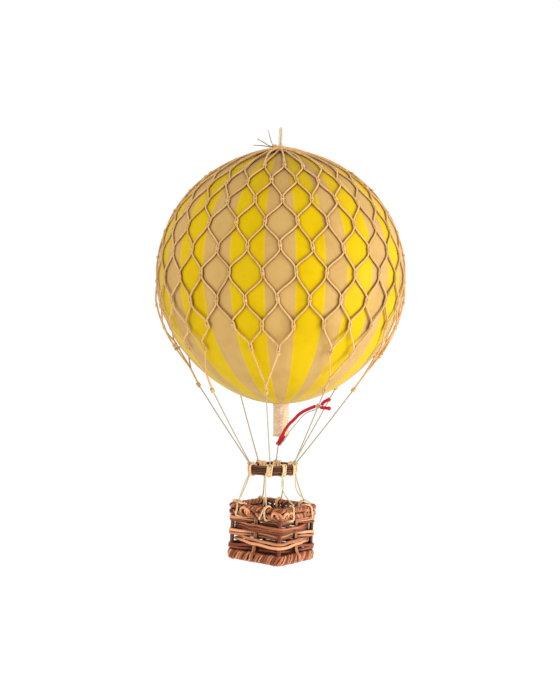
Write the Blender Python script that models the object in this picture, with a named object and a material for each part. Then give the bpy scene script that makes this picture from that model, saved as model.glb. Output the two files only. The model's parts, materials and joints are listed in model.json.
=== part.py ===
"""Hanging model of a hot air balloon: striped round envelope, cord net, load ring and wicker basket.

Metres, +Z up. The origin is the top of the hanging loop, the viewer looks along +Y. Angles round the
vertical are measured from the viewer's side (-Y) towards +X.
"""

import math

import bmesh
import bpy
from mathutils import Matrix, Vector

# Envelope and its neck
ENVELOPE_RADIUS = 0.090
ENVELOPE_WALL = 0.003
ENVELOPE_CENTRE = Vector((0.0, 0.0, -0.110))
ENVELOPE_SIDES = 44
NECK_RADIUS = 0.0059
NECK_WALL = 0.0010
NECK_TOP_DROP = 0.0903
NECK_LENGTH = 0.0270
NECK_HOLE_RADIUS = 0.0047
GAP = 0.0003

# Hanging loop and the binding on the crown
LOOP_CORD = 0.0015
LOOP_LEG_SPREAD = 0.0021
CROWN_BINDING_RADIUS = 0.0095
CROWN_BINDING_TOP = -0.0160
CROWN_BINDING_TAPER = 0.4

# Net: staggered rows of knots, joined as diamonds
NET_CORD = 0.0012
NET_RADIUS = ENVELOPE_RADIUS + 0.0015
NET_COLUMNS = 26
NET_FIRST_AZIMUTH = math.radians(-1.0)
NET_TOP_LATITUDE = math.radians(75.0)
NET_ROW_PITCH = math.radians(11.0)
NET_FULL_ROWS = 10
NET_HOOP_LATITUDE = math.radians(83.5)
NET_HEM_LIFT = 0.0025
NET_HEM_TILT = math.radians(2.5)

# Rigging lines: where each leaves the net and where it meets the load ring, in degrees
LINE_NAMES = ("front", "front_right", "right", "back_right", "back", "back_left", "left", "front_left")
LINE_NET_AZIMUTHS = tuple(-8.5 + 45.0 * k for k in range(8))
LINE_RING_AZIMUTHS = (-5.0, 64.0, 90.0, 112.0, 171.0, 217.0, 260.0, 295.0)
LINE_CORD = 0.0010
LINE_KNOT = 0.0013
LINE_KNOT_CENTRE = Vector((-0.0045, 0.0, -0.083))
LINE_KNOT_RADIUS = 0.058
LINE_GATHER = math.radians(15.0)

# Load ring
RING_CENTRE = ENVELOPE_CENTRE + Vector((-0.0062, 0.0, -0.1412))
RING_RADIUS = 0.0173
RING_WALL = 0.0032
RING_HEIGHT = 0.0070
RING_SIDES = 40
RING_ROUNDING = 0.4
BINDING_WIDTH = 0.0040
BINDING_CORD = 0.0010

# Basket, turned about the vertical so that one corner is nearly towards the viewer, hanging a bit askew
BASKET_TURN = math.radians(-34.1)
BASKET_LEAN = math.radians(2.8)
BASKET_SHIFT = 0.0007
BASKET_TOP_DROP = 0.0253
BASKET_HEIGHT = 0.0408
BASKET_HALF = 0.0244
RIM_WIDTH = 0.0052
RIM_HEIGHT = 0.0085
FOOT_WIDTH = 0.0044
FOOT_HEIGHT = 0.0076
CORNER_ROUNDING = 0.0054
BORDER_ROUNDING = 0.35
RIM_OVERHANG = 0.0004
FLOOR_THICKNESS = 0.0020
FLOOR_RISE = 0.0015
FLOOR_CORNER = 0.0008
POST_RADIUS = 0.0015
POST_INSET = 0.0036
STAKE_RADIUS = 0.0012
WEAVER_ROWS = 5
WEAVER_HEIGHT = 0.0040
WEAVER_THICKNESS = 0.0014
BASKET_CORD = 0.0011
BASKET_CORD_NAMES = (
    "left_front", "front_left", "front_right", "right_front",
    "right_back", "back_right", "back_left", "left_back",
)
BASKET_CORD_RING_AZIMUTHS = (276.0, 345.0, 25.0, 78.0, 102.0, 155.0, 200.0, 254.0)
BASKET_CORD_FACES = (0, 0, 1, 1, 2, 2, 3, 3)
BASKET_CORD_ALONG = (-0.0155, 0.0090, -0.0060, 0.0170, -0.0125, 0.0080, -0.0180, 0.0125)

# Red valve cord: its route through the rigging, and its two tails
VALVE_CORD = 0.0017
VALVE_ROUTE = (
    (-0.0010, 0.0225, -0.2350), (0.0000, 0.0120, -0.2335), (0.0008, 0.0020, -0.2318),
    (0.0018, -0.0065, -0.2290), (0.0034, -0.0105, -0.2245), (0.0062, -0.0140, -0.2190),
    (0.0094, -0.0175, -0.2140), (0.0126, -0.0210, -0.2098), (0.0160, -0.0250, -0.2070),
    (0.0200, -0.0300, -0.2050), (0.0240, -0.0350, -0.2033),
)
TAIL_ROUTES = {
    "upper": ((0.0286, -0.0385, -0.2024), (0.0303, -0.0400, -0.2002), (0.0325, -0.0412, -0.1990),
              (0.0335, -0.0418, -0.1986)),
    "lower": ((0.0282, -0.0380, -0.2044), (0.0300, -0.0398, -0.2044), (0.0322, -0.0412, -0.2046),
              (0.0336, -0.0420, -0.2048)),
}
TAIL_KNOT = 0.0017

COLOURS = {
    "envelope": (0.82, 0.64, 0.10),
    "net": (0.70, 0.53, 0.30),
    "cream_cord": (0.80, 0.70, 0.50),
    "rigging": (0.55, 0.50, 0.38),
    "neck": (0.74, 0.58, 0.38),
    "dark_cane": (0.16, 0.08, 0.05),
    "wicker": (0.36, 0.15, 0.07),
    "red_cord": (0.55, 0.02, 0.03),
}
SHARP_ANGLE = math.radians(40.0)


def clear_scene():
    for obj in list(bpy.data.objects):
        bpy.data.objects.remove(obj, do_unlink=True)


def material(name, roughness=0.8):
    found = bpy.data.materials.get(name)
    if found:
        return found
    made = bpy.data.materials.new(name)
    made.use_nodes = True
    shader = made.node_tree.nodes["Principled BSDF"]
    shader.inputs["Base Color"].default_value = (*COLOURS[name], 1.0)
    shader.inputs["Roughness"].default_value = roughness
    shader.inputs["Metallic"].default_value = 0.0
    return made


def place(name, mesh, colour, parent=None, location=(0.0, 0.0, 0.0)):
    """Links one named object with its material under its parent."""
    mesh.materials.append(material(colour))
    obj = bpy.data.objects.new(name, mesh)
    bpy.context.scene.collection.objects.link(obj)
    obj.location = location
    obj.parent = parent
    return obj


def mesh_from(name, shape, smooth=True):
    bmesh.ops.recalc_face_normals(shape, faces=shape.faces)
    mesh = bpy.data.meshes.new(name)
    shape.to_mesh(mesh)
    shape.free()
    if smooth:
        mesh.shade_smooth()
        mesh.set_sharp_from_angle(angle=SHARP_ANGLE)
    return mesh


def empty(name, location, turn=0.0, lean=0.0):
    made = bpy.data.objects.new(name, None)
    bpy.context.scene.collection.objects.link(made)
    made.location = location
    made.rotation_euler = (0.0, lean, turn)
    return made


def helper(name, mesh, parent=None):
    """A solid that only serves a Boolean."""
    made = bpy.data.objects.new(name, mesh)
    bpy.context.scene.collection.objects.link(made)
    made.parent = parent
    made.hide_render = True
    made.display_type = "WIRE"
    return made


def unite(obj, other):
    joined = obj.modifiers.new("Join " + other.name, "BOOLEAN")
    joined.operation = "UNION"
    joined.object = other


def outwards(azimuth, radius=1.0, height=0.0):
    """A point by its angle round the vertical, from the viewer's side towards +X."""
    return Vector((radius * math.sin(azimuth), -radius * math.cos(azimuth), height))


def on_net(azimuth, latitude):
    """A point of the net's sphere, seen from the envelope's centre."""
    return outwards(azimuth, NET_RADIUS * math.cos(latitude), NET_RADIUS * math.sin(latitude))


def turned_ring(name, profile, sides):
    """A closed profile of (radius, height) points, spun round the vertical."""
    shape = bmesh.new()
    corners = [shape.verts.new((radius, 0.0, height)) for radius, height in profile]
    edges = [shape.edges.new((corners[i - 1], corners[i])) for i in range(len(corners))]
    bmesh.ops.spin(
        shape, geom=corners + edges, cent=(0.0, 0.0, 0.0), axis=(0.0, 0.0, 1.0),
        angle=math.tau, steps=sides, use_merge=True,
    )
    bmesh.ops.remove_doubles(shape, verts=shape.verts, dist=1e-7)
    return mesh_from(name, shape)


def rounded_section(inner, width, low, high, rounding=0.3, points=3):
    """A closed rounded rectangle of (radius, height) points from inner to inner + width."""
    reach = min(width, high - low) * rounding
    section = []
    for across, up, start in (
        (inner + width - reach, high - reach, 0.0), (inner + reach, high - reach, 0.25),
        (inner + reach, low + reach, 0.5), (inner + width - reach, low + reach, 0.75),
    ):
        for step in range(points):
            angle = math.tau * (start + 0.25 * step / (points - 1))
            section.append((across + reach * math.cos(angle), up + reach * math.sin(angle)))
    return section


def smooth_route(route, spacing):
    """Points along a smooth curve through the route's points, about one spacing apart."""
    knots = [Vector(point) for point in route]
    knots = [2 * knots[0] - knots[1]] + knots + [2 * knots[-1] - knots[-2]]
    points = [knots[1]]
    for i in range(1, len(knots) - 2):
        before, start, end, after = knots[i - 1:i + 3]
        steps = max(1, round((end - start).length / spacing))
        for step in range(1, steps + 1):
            t = step / steps
            points.append(
                0.5 * (2 * start + (end - before) * t
                       + (2 * before - 5 * start + 4 * end - after) * t ** 2
                       + (3 * start - before - 3 * end + after) * t ** 3)
            )
    return points


def cord(name, points, diameter, colour, parent=None, closed=False):
    """A round cord through the points, with filled ends."""
    data = bpy.data.curves.new(name, "CURVE")
    data.dimensions = "3D"
    data.bevel_depth = diameter / 2
    data.bevel_resolution = 1
    data.use_fill_caps = not closed
    spline = data.splines.new("POLY")
    spline.points.add(len(points) - 1)
    for target, point in zip(spline.points, points):
        target.co = (*point, 1.0)
    spline.use_cyclic_u = closed
    data.materials.append(material(colour))
    obj = bpy.data.objects.new(name, data)
    bpy.context.scene.collection.objects.link(obj)
    obj.parent = parent
    return obj


def rod(start, end, diameter, sides=6):
    """A straight round rod as a closed mesh."""
    start, end = Vector(start), Vector(end)
    along = end - start
    shape = bmesh.new()
    bmesh.ops.create_cone(
        shape, cap_ends=True, segments=sides, radius1=diameter / 2, radius2=diameter / 2,
        depth=along.length,
    )
    turn = along.to_track_quat("Z", "Y").to_matrix().to_4x4()
    bmesh.ops.transform(shape, matrix=Matrix.Translation((start + end) / 2) @ turn, verts=shape.verts)
    return mesh_from("rod", shape)


def ball(centre, radius):
    shape = bmesh.new()
    bmesh.ops.create_icosphere(shape, subdivisions=1, radius=radius)
    bmesh.ops.translate(shape, vec=centre, verts=shape.verts)
    return mesh_from("ball", shape)


def build_hanging_loop():
    """A narrow loop of doubled cord, whose top is the origin."""
    half = LOOP_LEG_SPREAD / 2
    top = -LOOP_CORD / 2
    foot = CROWN_BINDING_TOP + GAP
    bend = [
        Vector((half * math.cos(angle), 0.0, top - half + half * math.sin(angle)))
        for angle in [math.pi * step / 6 for step in range(7)]
    ]
    points = [Vector((half, 0.0, foot)), *bend, Vector((-half, 0.0, foot))]
    cord("hanging_loop", points, LOOP_CORD, "cream_cord")


def build_crown_binding():
    """The flat knot of gathered net cords on the crown, which rests just above the net's top hoop."""
    low = ENVELOPE_CENTRE.z + NET_RADIUS + NET_CORD / 2 + GAP
    shape = bmesh.new()
    bmesh.ops.create_cone(
        shape, cap_ends=True, segments=16, radius1=CROWN_BINDING_RADIUS,
        radius2=CROWN_BINDING_RADIUS * CROWN_BINDING_TAPER, depth=CROWN_BINDING_TOP - low,
    )
    middle = (CROWN_BINDING_TOP + low) / 2
    place("crown_binding", mesh_from("crown_binding", shape), "net", location=(0.0, 0.0, middle))


def build_envelope():
    """A hollow ball whose neck hole is at the bottom, turned from one profile."""
    inner = ENVELOPE_RADIUS - ENVELOPE_WALL
    outer_steps, inner_steps = 22, 14
    profile = [(0.0, ENVELOPE_RADIUS)]
    outer_end = math.pi - math.asin(NECK_HOLE_RADIUS / ENVELOPE_RADIUS)
    inner_end = math.pi - math.asin(NECK_HOLE_RADIUS / inner)
    for step in range(1, outer_steps + 1):
        angle = outer_end * step / outer_steps
        profile.append((ENVELOPE_RADIUS * math.sin(angle), ENVELOPE_RADIUS * math.cos(angle)))
    for step in range(inner_steps, 0, -1):
        angle = inner_end * step / inner_steps
        profile.append((inner * math.sin(angle), inner * math.cos(angle)))
    profile.append((0.0, inner))
    shape = bmesh.new()
    corners = [shape.verts.new((radius, 0.0, height)) for radius, height in profile]
    edges = [shape.edges.new(pair) for pair in zip(corners, corners[1:])]
    bmesh.ops.spin(
        shape, geom=corners + edges, cent=(0.0, 0.0, 0.0), axis=(0.0, 0.0, 1.0),
        angle=math.tau, steps=ENVELOPE_SIDES, use_merge=True,
    )
    bmesh.ops.remove_doubles(shape, verts=shape.verts, dist=1e-6)
    place("envelope", mesh_from("envelope", shape), "envelope", location=ENVELOPE_CENTRE)


def build_neck():
    """The open tube under the envelope."""
    section = rounded_section(NECK_RADIUS - NECK_WALL, NECK_WALL, -NECK_LENGTH, 0.0, 0.2, 2)
    mesh = turned_ring("neck_tube", section, 24)
    place("neck_tube", mesh, "neck", location=ENVELOPE_CENTRE - Vector((0.0, 0.0, NECK_TOP_DROP)))


def knot_azimuth(row, column):
    """Every other row of knots stands half a column on."""
    half_on = 0.5 if row % 2 == 1 else 0.0
    return NET_FIRST_AZIMUTH + math.tau * (column + half_on) / NET_COLUMNS


def row_latitude(row):
    return NET_TOP_LATITUDE - NET_ROW_PITCH * row


def net_knot(row, column):
    """A knot's place. The last rows hang free of the envelope, highest where the load ring is nearest."""
    azimuth = knot_azimuth(row, column)
    freedom = (max(0, row - NET_FULL_ROWS + 2) / 2) ** 2
    latitude = row_latitude(row) - NET_HEM_TILT * freedom * math.sin(azimuth)
    return on_net(azimuth, latitude) * (1.0 + freedom * NET_HEM_LIFT / NET_RADIUS)


def gathered_columns(azimuth):
    """The hem knots that one rigging line gathers, as columns of the net's last row."""
    last = NET_FULL_ROWS
    found = []
    for column in range(NET_COLUMNS):
        away = (knot_azimuth(last, column) - azimuth + math.pi) % math.tau - math.pi
        if abs(away) <= LINE_GATHER:
            found.append(column)
    return found


def build_net():
    """Diamonds of cord over the envelope, from a hoop on the crown down to the knots of the hem."""
    shape = bmesh.new()
    hoop = [
        shape.verts.new(on_net(knot_azimuth(0, column), NET_HOOP_LATITUDE))
        for column in range(NET_COLUMNS)
    ]
    rows = [
        [shape.verts.new(net_knot(row, column)) for column in range(NET_COLUMNS)]
        for row in range(NET_FULL_ROWS)
    ]
    last = NET_FULL_ROWS
    hem = {
        column: shape.verts.new(net_knot(last, column))
        for azimuth in LINE_NET_AZIMUTHS
        for column in gathered_columns(math.radians(azimuth))
    }
    for column in range(NET_COLUMNS):
        after = (column + 1) % NET_COLUMNS
        # A gore between two cords that run up to the hoop, over the first row's knots
        shape.faces.new((hoop[column], rows[0][column], rows[1][column], rows[0][after], hoop[after]))
    for row in range(NET_FULL_ROWS - 1):
        for column in range(NET_COLUMNS):
            after = (column + 1) % NET_COLUMNS
            before = (column - 1) % NET_COLUMNS
            # Odd rows stand half a column on, so their neighbours below are this column and the next
            sides = (column, after) if row % 2 == 1 else (before, column)
            foot = rows[row + 2][column] if row + 2 < NET_FULL_ROWS else None
            if foot is None and row % 2 == last % 2:
                foot = hem.get(column)
            if foot is None:
                continue
            shape.faces.new(
                (rows[row][column], rows[row + 1][sides[0]], foot, rows[row + 1][sides[1]])
            )
    mesh = mesh_from("net", shape, smooth=False)
    obj = place("net", mesh, "net", location=ENVELOPE_CENTRE)
    wires = obj.modifiers.new("Cords", "WIREFRAME")
    wires.thickness = NET_CORD
    wires.use_boundary = True
    wires.use_replace = True
    wires.use_even_offset = False


def build_rigging_line(name, net_azimuth, ring_azimuth):
    """Two or three legs from the hem gathered in a knot, and one line on down to the load ring."""
    knot = LINE_KNOT_CENTRE + outwards(net_azimuth, LINE_KNOT_RADIUS)
    ring_top = RING_CENTRE - ENVELOPE_CENTRE + Vector((0.0, 0.0, RING_HEIGHT / 2))
    foot = ring_top + outwards(ring_azimuth, RING_RADIUS + GAP, BINDING_CORD + 3 * GAP)
    root = empty("line_root_" + name, ENVELOPE_CENTRE)
    line = place("rigging_line_" + name, rod(knot, foot, LINE_CORD), "rigging", parent=root)
    unite(line, helper("knot_" + name, ball(knot, LINE_KNOT), root))
    for column in gathered_columns(net_azimuth):
        hem = net_knot(NET_FULL_ROWS, column)
        start = hem + (knot - hem).normalized() * (NET_CORD + 2 * GAP)
        unite(line, helper(f"leg_{name}_{column}", rod(start, knot, LINE_CORD), root))


def build_load_ring():
    section = rounded_section(
        RING_RADIUS - RING_WALL, RING_WALL, -RING_HEIGHT / 2, RING_HEIGHT / 2, RING_ROUNDING,
    )
    place("load_ring", turned_ring("load_ring", section, RING_SIDES), "dark_cane", location=RING_CENTRE)


def build_ring_binding(name, azimuth):
    """A few turns of cord round the ring's section, as one flat link."""
    inner_half_width = RING_WALL / 2 + GAP
    inner_half_height = RING_HEIGHT / 2 + GAP
    shape = bmesh.new()
    corners = []
    for y in (-BINDING_WIDTH / 2, BINDING_WIDTH / 2):
        for grow in (0.0, BINDING_CORD):
            half_width, half_height = inner_half_width + grow, inner_half_height + grow
            corners.append([
                shape.verts.new((x * half_width, y, z * half_height))
                for x, z in ((-1, -1), (1, -1), (1, 1), (-1, 1))
            ])
    front_inner, front_outer, back_inner, back_outer = corners
    for i in range(4):
        j = (i + 1) % 4
        shape.faces.new((front_inner[i], front_inner[j], front_outer[j], front_outer[i]))
        shape.faces.new((back_outer[i], back_outer[j], back_inner[j], back_inner[i]))
        shape.faces.new((front_outer[i], front_outer[j], back_outer[j], back_outer[i]))
        shape.faces.new((back_inner[i], back_inner[j], front_inner[j], front_inner[i]))
    obj = place("ring_binding_" + name, mesh_from("binding", shape), "net")
    obj.location = RING_CENTRE + outwards(azimuth, RING_RADIUS - RING_WALL / 2)
    # Local +X points out from the ring's middle
    obj.rotation_euler = (0.0, 0.0, azimuth - math.pi / 2)


def square_ring(name, outer_half, width, low, high, colour, parent):
    """A square border with rounded corners and a rounded section, standing on its side."""
    section = rounded_section(0.0, width, low, high, BORDER_ROUNDING)
    shape = bmesh.new()
    path = []
    centre = outer_half - CORNER_ROUNDING
    for corner in range(4):
        for step in range(3):
            angle = math.pi / 2 * (corner + step / 2)
            sign_x = 1 if corner in (0, 3) else -1
            sign_y = 1 if corner in (0, 1) else -1
            path.append((Vector((sign_x * centre, sign_y * centre, 0.0)), angle))
    loops = []
    for middle, angle in path:
        out = Vector((math.cos(angle), math.sin(angle), 0.0))
        loops.append([
            shape.verts.new(middle + out * (CORNER_ROUNDING - width + across) + Vector((0.0, 0.0, up)))
            for across, up in section
        ])
    for i, loop in enumerate(loops):
        following = loops[(i + 1) % len(loops)]
        for j in range(len(loop)):
            k = (j + 1) % len(loop)
            shape.faces.new((loop[j], following[j], following[k], loop[k]))
    return place(name, mesh_from(name, shape), colour, parent=parent)


def build_basket(parent):
    """Foot, floor, posts, four woven walls and rim, in the basket's own square frame."""
    low = -BASKET_HEIGHT
    post_at = BASKET_HALF - POST_INSET
    square_ring("basket_foot", BASKET_HALF, FOOT_WIDTH, low, low + FOOT_HEIGHT, "wicker", parent)
    square_ring("basket_rim", BASKET_HALF + RIM_OVERHANG, RIM_WIDTH, -RIM_HEIGHT, 0.0, "wicker", parent)
    floor_half = BASKET_HALF - FOOT_WIDTH - GAP
    shape = bmesh.new()
    bmesh.ops.create_cube(shape, size=1.0)
    bmesh.ops.scale(shape, vec=(2 * floor_half, 2 * floor_half, FLOOR_THICKNESS), verts=shape.verts)
    bmesh.ops.translate(shape, vec=(0.0, 0.0, low + FLOOR_RISE + FLOOR_THICKNESS / 2), verts=shape.verts)
    floor = place("basket_floor", mesh_from("floor", shape), "wicker", parent=parent)
    round_off = floor.modifiers.new("Rounded corners", "BEVEL")
    round_off.width = FLOOR_CORNER
    post_low = low + FOOT_HEIGHT + GAP
    post_high = -RIM_HEIGHT - GAP
    for number, (side_x, side_y) in enumerate(((1, -1), (1, 1), (-1, 1), (-1, -1)), start=1):
        x, y = side_x * post_at, side_y * post_at
        post = rod((x, y, post_low), (x, y, post_high), 2 * POST_RADIUS, 10)
        place(f"corner_post_{number}", post, "wicker", parent=parent)
    for number in range(4):
        build_wall(number, post_at, post_low, post_high, parent)


def build_wall(number, post_at, post_low, post_high, parent):
    """One open woven wall: a stake in the middle, crossed by paired weavers."""
    face = empty(f"face_{number + 1}", (0.0, 0.0, 0.0), math.pi / 2 * number)
    face.parent = parent
    stake = rod((0.0, -post_at, post_low), (0.0, -post_at, post_high), 2 * STAKE_RADIUS, 8)
    wall = place(f"basket_wall_{number + 1}", stake, "wicker", parent=face)
    reach = post_at - POST_RADIUS - GAP
    pitch = (post_high - post_low) / WEAVER_ROWS
    shape = bmesh.new()
    for row in range(WEAVER_ROWS):
        height = post_low + pitch * (row + 0.5)
        made = bmesh.ops.create_cone(
            shape, cap_ends=True, segments=8, radius1=0.5, radius2=0.5, depth=2 * reach,
            matrix=Matrix.Rotation(math.pi / 2, 4, "Y"),
        )["verts"]
        bmesh.ops.scale(shape, vec=(1.0, WEAVER_THICKNESS, WEAVER_HEIGHT), verts=made)
        bmesh.ops.translate(shape, vec=(0.0, -post_at - STAKE_RADIUS, height), verts=made)
    unite(wall, helper(f"weavers_{number + 1}", mesh_from("weavers", shape), face))


def basket_point(face, along, out, up):
    """A point on one face of the basket, in the basket's own frame."""
    turn = Matrix.Rotation(math.pi / 2 * face, 4, "Z")
    return turn @ Vector((along, -out, up))


def build_basket_cords(basket):
    """Each line goes on below its binding, over the rim and in under it."""
    turned = Matrix.Rotation(BASKET_LEAN, 4, "Y") @ Matrix.Rotation(BASKET_TURN, 4, "Z")
    drop = Vector((BASKET_SHIFT, 0.0, -BASKET_TOP_DROP))
    rim_outer = BASKET_HALF + RIM_OVERHANG
    rim_middle = rim_outer - RIM_WIDTH / 2
    reach = BASKET_CORD / 2 + GAP
    for index, name in enumerate(BASKET_CORD_NAMES):
        along = BASKET_CORD_ALONG[index]
        face = BASKET_CORD_FACES[index]
        start = outwards(
            math.radians(BASKET_CORD_RING_AZIMUTHS[index]), RING_RADIUS + GAP,
            -RING_HEIGHT / 2 - BINDING_CORD - 4 * GAP,
        )
        over = [
            basket_point(face, along, rim_middle, reach + GAP),
            basket_point(face, along, rim_outer - RIM_OVERHANG, reach),
            basket_point(face, along, rim_outer + reach + GAP, -RIM_HEIGHT / 4),
            basket_point(face, along, rim_outer + reach, -RIM_HEIGHT + GAP),
        ]
        route = [start] + [drop + turned @ point for point in over]
        cord("basket_cord_" + name, route, BASKET_CORD, "rigging", parent=basket)


def build_valve_cord():
    """The red cord tied across the rigging, and its two knotted tails."""
    cord("valve_cord", smooth_route(VALVE_ROUTE, 0.0030), VALVE_CORD, "red_cord")
    for name, route in TAIL_ROUTES.items():
        points = smooth_route(route, 0.0020)
        tail = place("valve_cord_tail_" + name, rod(points[0], points[-1], VALVE_CORD, 8), "red_cord")
        unite(tail, helper("tail_knot_" + name, ball(points[-1], TAIL_KNOT)))


def main():
    clear_scene()
    build_hanging_loop()
    build_crown_binding()
    build_envelope()
    build_neck()
    build_net()
    for name, net_azimuth, ring_azimuth in zip(LINE_NAMES, LINE_NET_AZIMUTHS, LINE_RING_AZIMUTHS):
        build_rigging_line(name, math.radians(net_azimuth), math.radians(ring_azimuth))
        build_ring_binding(name, math.radians(ring_azimuth))
    build_load_ring()
    swing = empty("basket_swing", RING_CENTRE)
    askew = empty("basket_lean", (BASKET_SHIFT, 0.0, -BASKET_TOP_DROP), lean=BASKET_LEAN)
    askew.parent = swing
    basket = empty("basket_frame", (0.0, 0.0, 0.0), BASKET_TURN)
    basket.parent = askew
    build_basket(basket)
    build_basket_cords(swing)
    build_valve_cord()


main()
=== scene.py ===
"""Dressed model of a small hanging balloon.

A round striped envelope hangs in a knotted net, over a cane load ring and a square wicker basket. Metres,
+Z up, in the frame of the part's solids: the origin is the top of the hanging loop and -Y is towards the
viewer. Angles round the vertical are measured from the viewer's side (-Y) towards +X.
"""

import json
import logging
import random
from collections.abc import Iterator, Sequence
from contextlib import contextmanager
from dataclasses import dataclass, field
from enum import Enum
from math import atan2, copysign, cos, hypot, pi, radians, sin, sqrt, tau

import bmesh
import bpy
import numpy as np
from mathutils import Matrix, Vector

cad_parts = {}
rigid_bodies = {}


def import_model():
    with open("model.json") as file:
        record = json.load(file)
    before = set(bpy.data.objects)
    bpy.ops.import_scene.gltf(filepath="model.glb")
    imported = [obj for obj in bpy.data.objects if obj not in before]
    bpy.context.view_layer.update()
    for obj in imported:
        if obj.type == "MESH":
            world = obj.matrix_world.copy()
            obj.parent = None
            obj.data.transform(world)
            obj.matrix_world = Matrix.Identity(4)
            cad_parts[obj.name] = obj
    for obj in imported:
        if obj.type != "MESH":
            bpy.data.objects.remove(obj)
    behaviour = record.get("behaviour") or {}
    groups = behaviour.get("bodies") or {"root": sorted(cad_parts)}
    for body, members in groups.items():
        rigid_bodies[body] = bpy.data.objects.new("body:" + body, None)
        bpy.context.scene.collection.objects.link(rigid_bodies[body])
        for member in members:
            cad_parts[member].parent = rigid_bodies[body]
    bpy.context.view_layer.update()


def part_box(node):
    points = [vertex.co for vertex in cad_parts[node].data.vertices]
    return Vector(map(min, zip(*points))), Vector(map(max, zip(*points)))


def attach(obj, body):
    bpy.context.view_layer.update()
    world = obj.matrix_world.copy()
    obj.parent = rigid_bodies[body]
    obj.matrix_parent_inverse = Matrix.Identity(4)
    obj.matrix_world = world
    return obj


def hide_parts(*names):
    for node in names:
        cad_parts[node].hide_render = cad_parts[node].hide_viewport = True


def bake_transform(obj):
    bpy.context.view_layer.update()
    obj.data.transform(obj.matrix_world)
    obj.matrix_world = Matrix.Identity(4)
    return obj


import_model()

LOG = logging.getLogger("balloon")
Colour = tuple[float, float, float, float]
Place = tuple[float, float, float]
Route = tuple[Place, ...]
Material = bpy.types.Material
Object = bpy.types.Object
Socket = bpy.types.NodeSocket
UP = Vector((0.0, 0.0, 1.0))
# Sharper edges than these stay sharp on sheets and on cords
SHEET_EDGE = radians(50.0)
CORD_EDGE = radians(60.0)


class Body(Enum):
    """The moving bodies that pieces ride on."""

    LOOP = "loop"
    BALLOON = "balloon"
    BASKET = "basket"


def srgb(red: int, green: int, blue: int) -> Colour:
    """Turns a colour of a screen, each part from 0 to 255, into the linear one that a shader takes."""
    shares = (part / 255 for part in (red, green, blue))
    linear = [s / 12.92 if s <= 0.04045 else ((s + 0.055) / 1.055) ** 2.4 for s in shares]
    return (*linear, 1.0)


def outwards(azimuth: float, radius: float = 1.0, height: float = 0.0) -> Vector:
    """Gives the point at an azimuth in radians, a distance from the vertical axis and a height."""
    return Vector((radius * sin(azimuth), -radius * cos(azimuth), height))


def on_ball(azimuth: float, latitude: float, radius: float) -> Vector:
    """Gives a point of a ball round the origin, by its azimuth and latitude in radians."""
    return outwards(azimuth, radius * cos(latitude), radius * sin(latitude))


def smooth_route(route: Sequence[Vector | Place], spacing: float) -> list[Vector]:
    """Lays points along a smooth curve through the points of a route.

    Args:
        route: The points that the curve goes through.
        spacing: About how far apart the new points lie.

    Returns:
        The points along the curve.
    """
    knots = [Vector(point) for point in route]
    knots = [2 * knots[0] - knots[1], *knots, 2 * knots[-1] - knots[-2]]
    points = [knots[1]]
    for i in range(1, len(knots) - 2):
        before, start, end, after = knots[i - 1:i + 3]
        steps = max(1, round((end - start).length / spacing))
        for step in range(1, steps + 1):
            t = step / steps
            points.append(
                0.5 * (2 * start + (end - before) * t
                       + (2 * before - 5 * start + 4 * end - after) * t ** 2
                       + (3 * start - before - 3 * end + after) * t ** 3)
            )
    return points


def squarish(value: float, power: float) -> float:
    """Pushes a sine or cosine outwards by a power below 1, so that a round path turns squarish."""
    return copysign(abs(value) ** power, value)


def add_object(name: str, data: bpy.types.ID) -> Object:
    """Puts new data into the scene as an object."""
    obj = bpy.data.objects.new(name, data)
    bpy.context.scene.collection.objects.link(obj)
    return obj


def take_primitive() -> Object:
    """Gives the primitive just added, with its place, turn and scale applied."""
    bpy.ops.object.transform_apply(location=True, rotation=True, scale=True)
    return bpy.context.object


def measure_chart(obj: Object, radius: float) -> None:
    """Turns the chart that a ready-made body comes with into metres round a radius."""
    chart = obj.data.uv_layers.active
    chart.name = "UVMap"
    for corner in chart.data:
        corner.uv.x *= tau * radius


def deselect_all() -> None:
    """Leaves nothing selected and no object active."""
    for obj in bpy.context.view_layer.objects:
        if obj.select_get():
            obj.select_set(False)
    bpy.context.view_layer.objects.active = None


def select(objects: Sequence[Object]) -> None:
    """Selects only these objects and makes the first one active."""
    deselect_all()
    for obj in objects:
        obj.select_set(True)
    bpy.context.view_layer.objects.active = objects[0]


@contextmanager
def editing(obj: Object) -> Iterator[None]:
    """Works on one object in edit mode.

    Args:
        obj: The mesh object to edit.

    Yields:
        Nothing; edit mode is left again at the end.
    """
    select([obj])
    bpy.ops.object.mode_set(mode="EDIT")
    try:
        yield
    finally:
        bpy.ops.object.mode_set(mode="OBJECT")


def apply_modifier(obj: Object, kind: str, **settings: object) -> None:
    """Adds a modifier to an object and applies it.

    Args:
        obj: The object, which is left selected.
        kind: The modifier's type.
        **settings: The modifier's own settings.
    """
    select([obj])
    modifier = obj.modifiers.new(kind.title(), kind)
    for name, value in settings.items():
        setattr(modifier, name, value)
    bpy.ops.object.modifier_apply(modifier=modifier.name)


def close_mesh(obj: Object) -> None:
    """Merges a mesh's doubled points, turns its faces outwards and shades it smooth."""
    with editing(obj):
        bpy.ops.mesh.select_all(action="SELECT")
        bpy.ops.mesh.remove_doubles(threshold=1e-6)
        bpy.ops.mesh.normals_make_consistent(inside=False)
    bpy.ops.object.shade_smooth_by_angle(angle=CORD_EDGE)


def join(objects: Sequence[Object], name: str) -> Object:
    """Joins several mesh objects into one.

    Args:
        objects: The objects, of which the first is kept.
        name: The joined object's name.

    Returns:
        The joined object.
    """
    select(objects)
    if len(objects) > 1:
        bpy.ops.object.join()
    joined = bpy.context.view_layer.objects.active
    joined.name = name
    joined.data.name = name
    return joined


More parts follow.
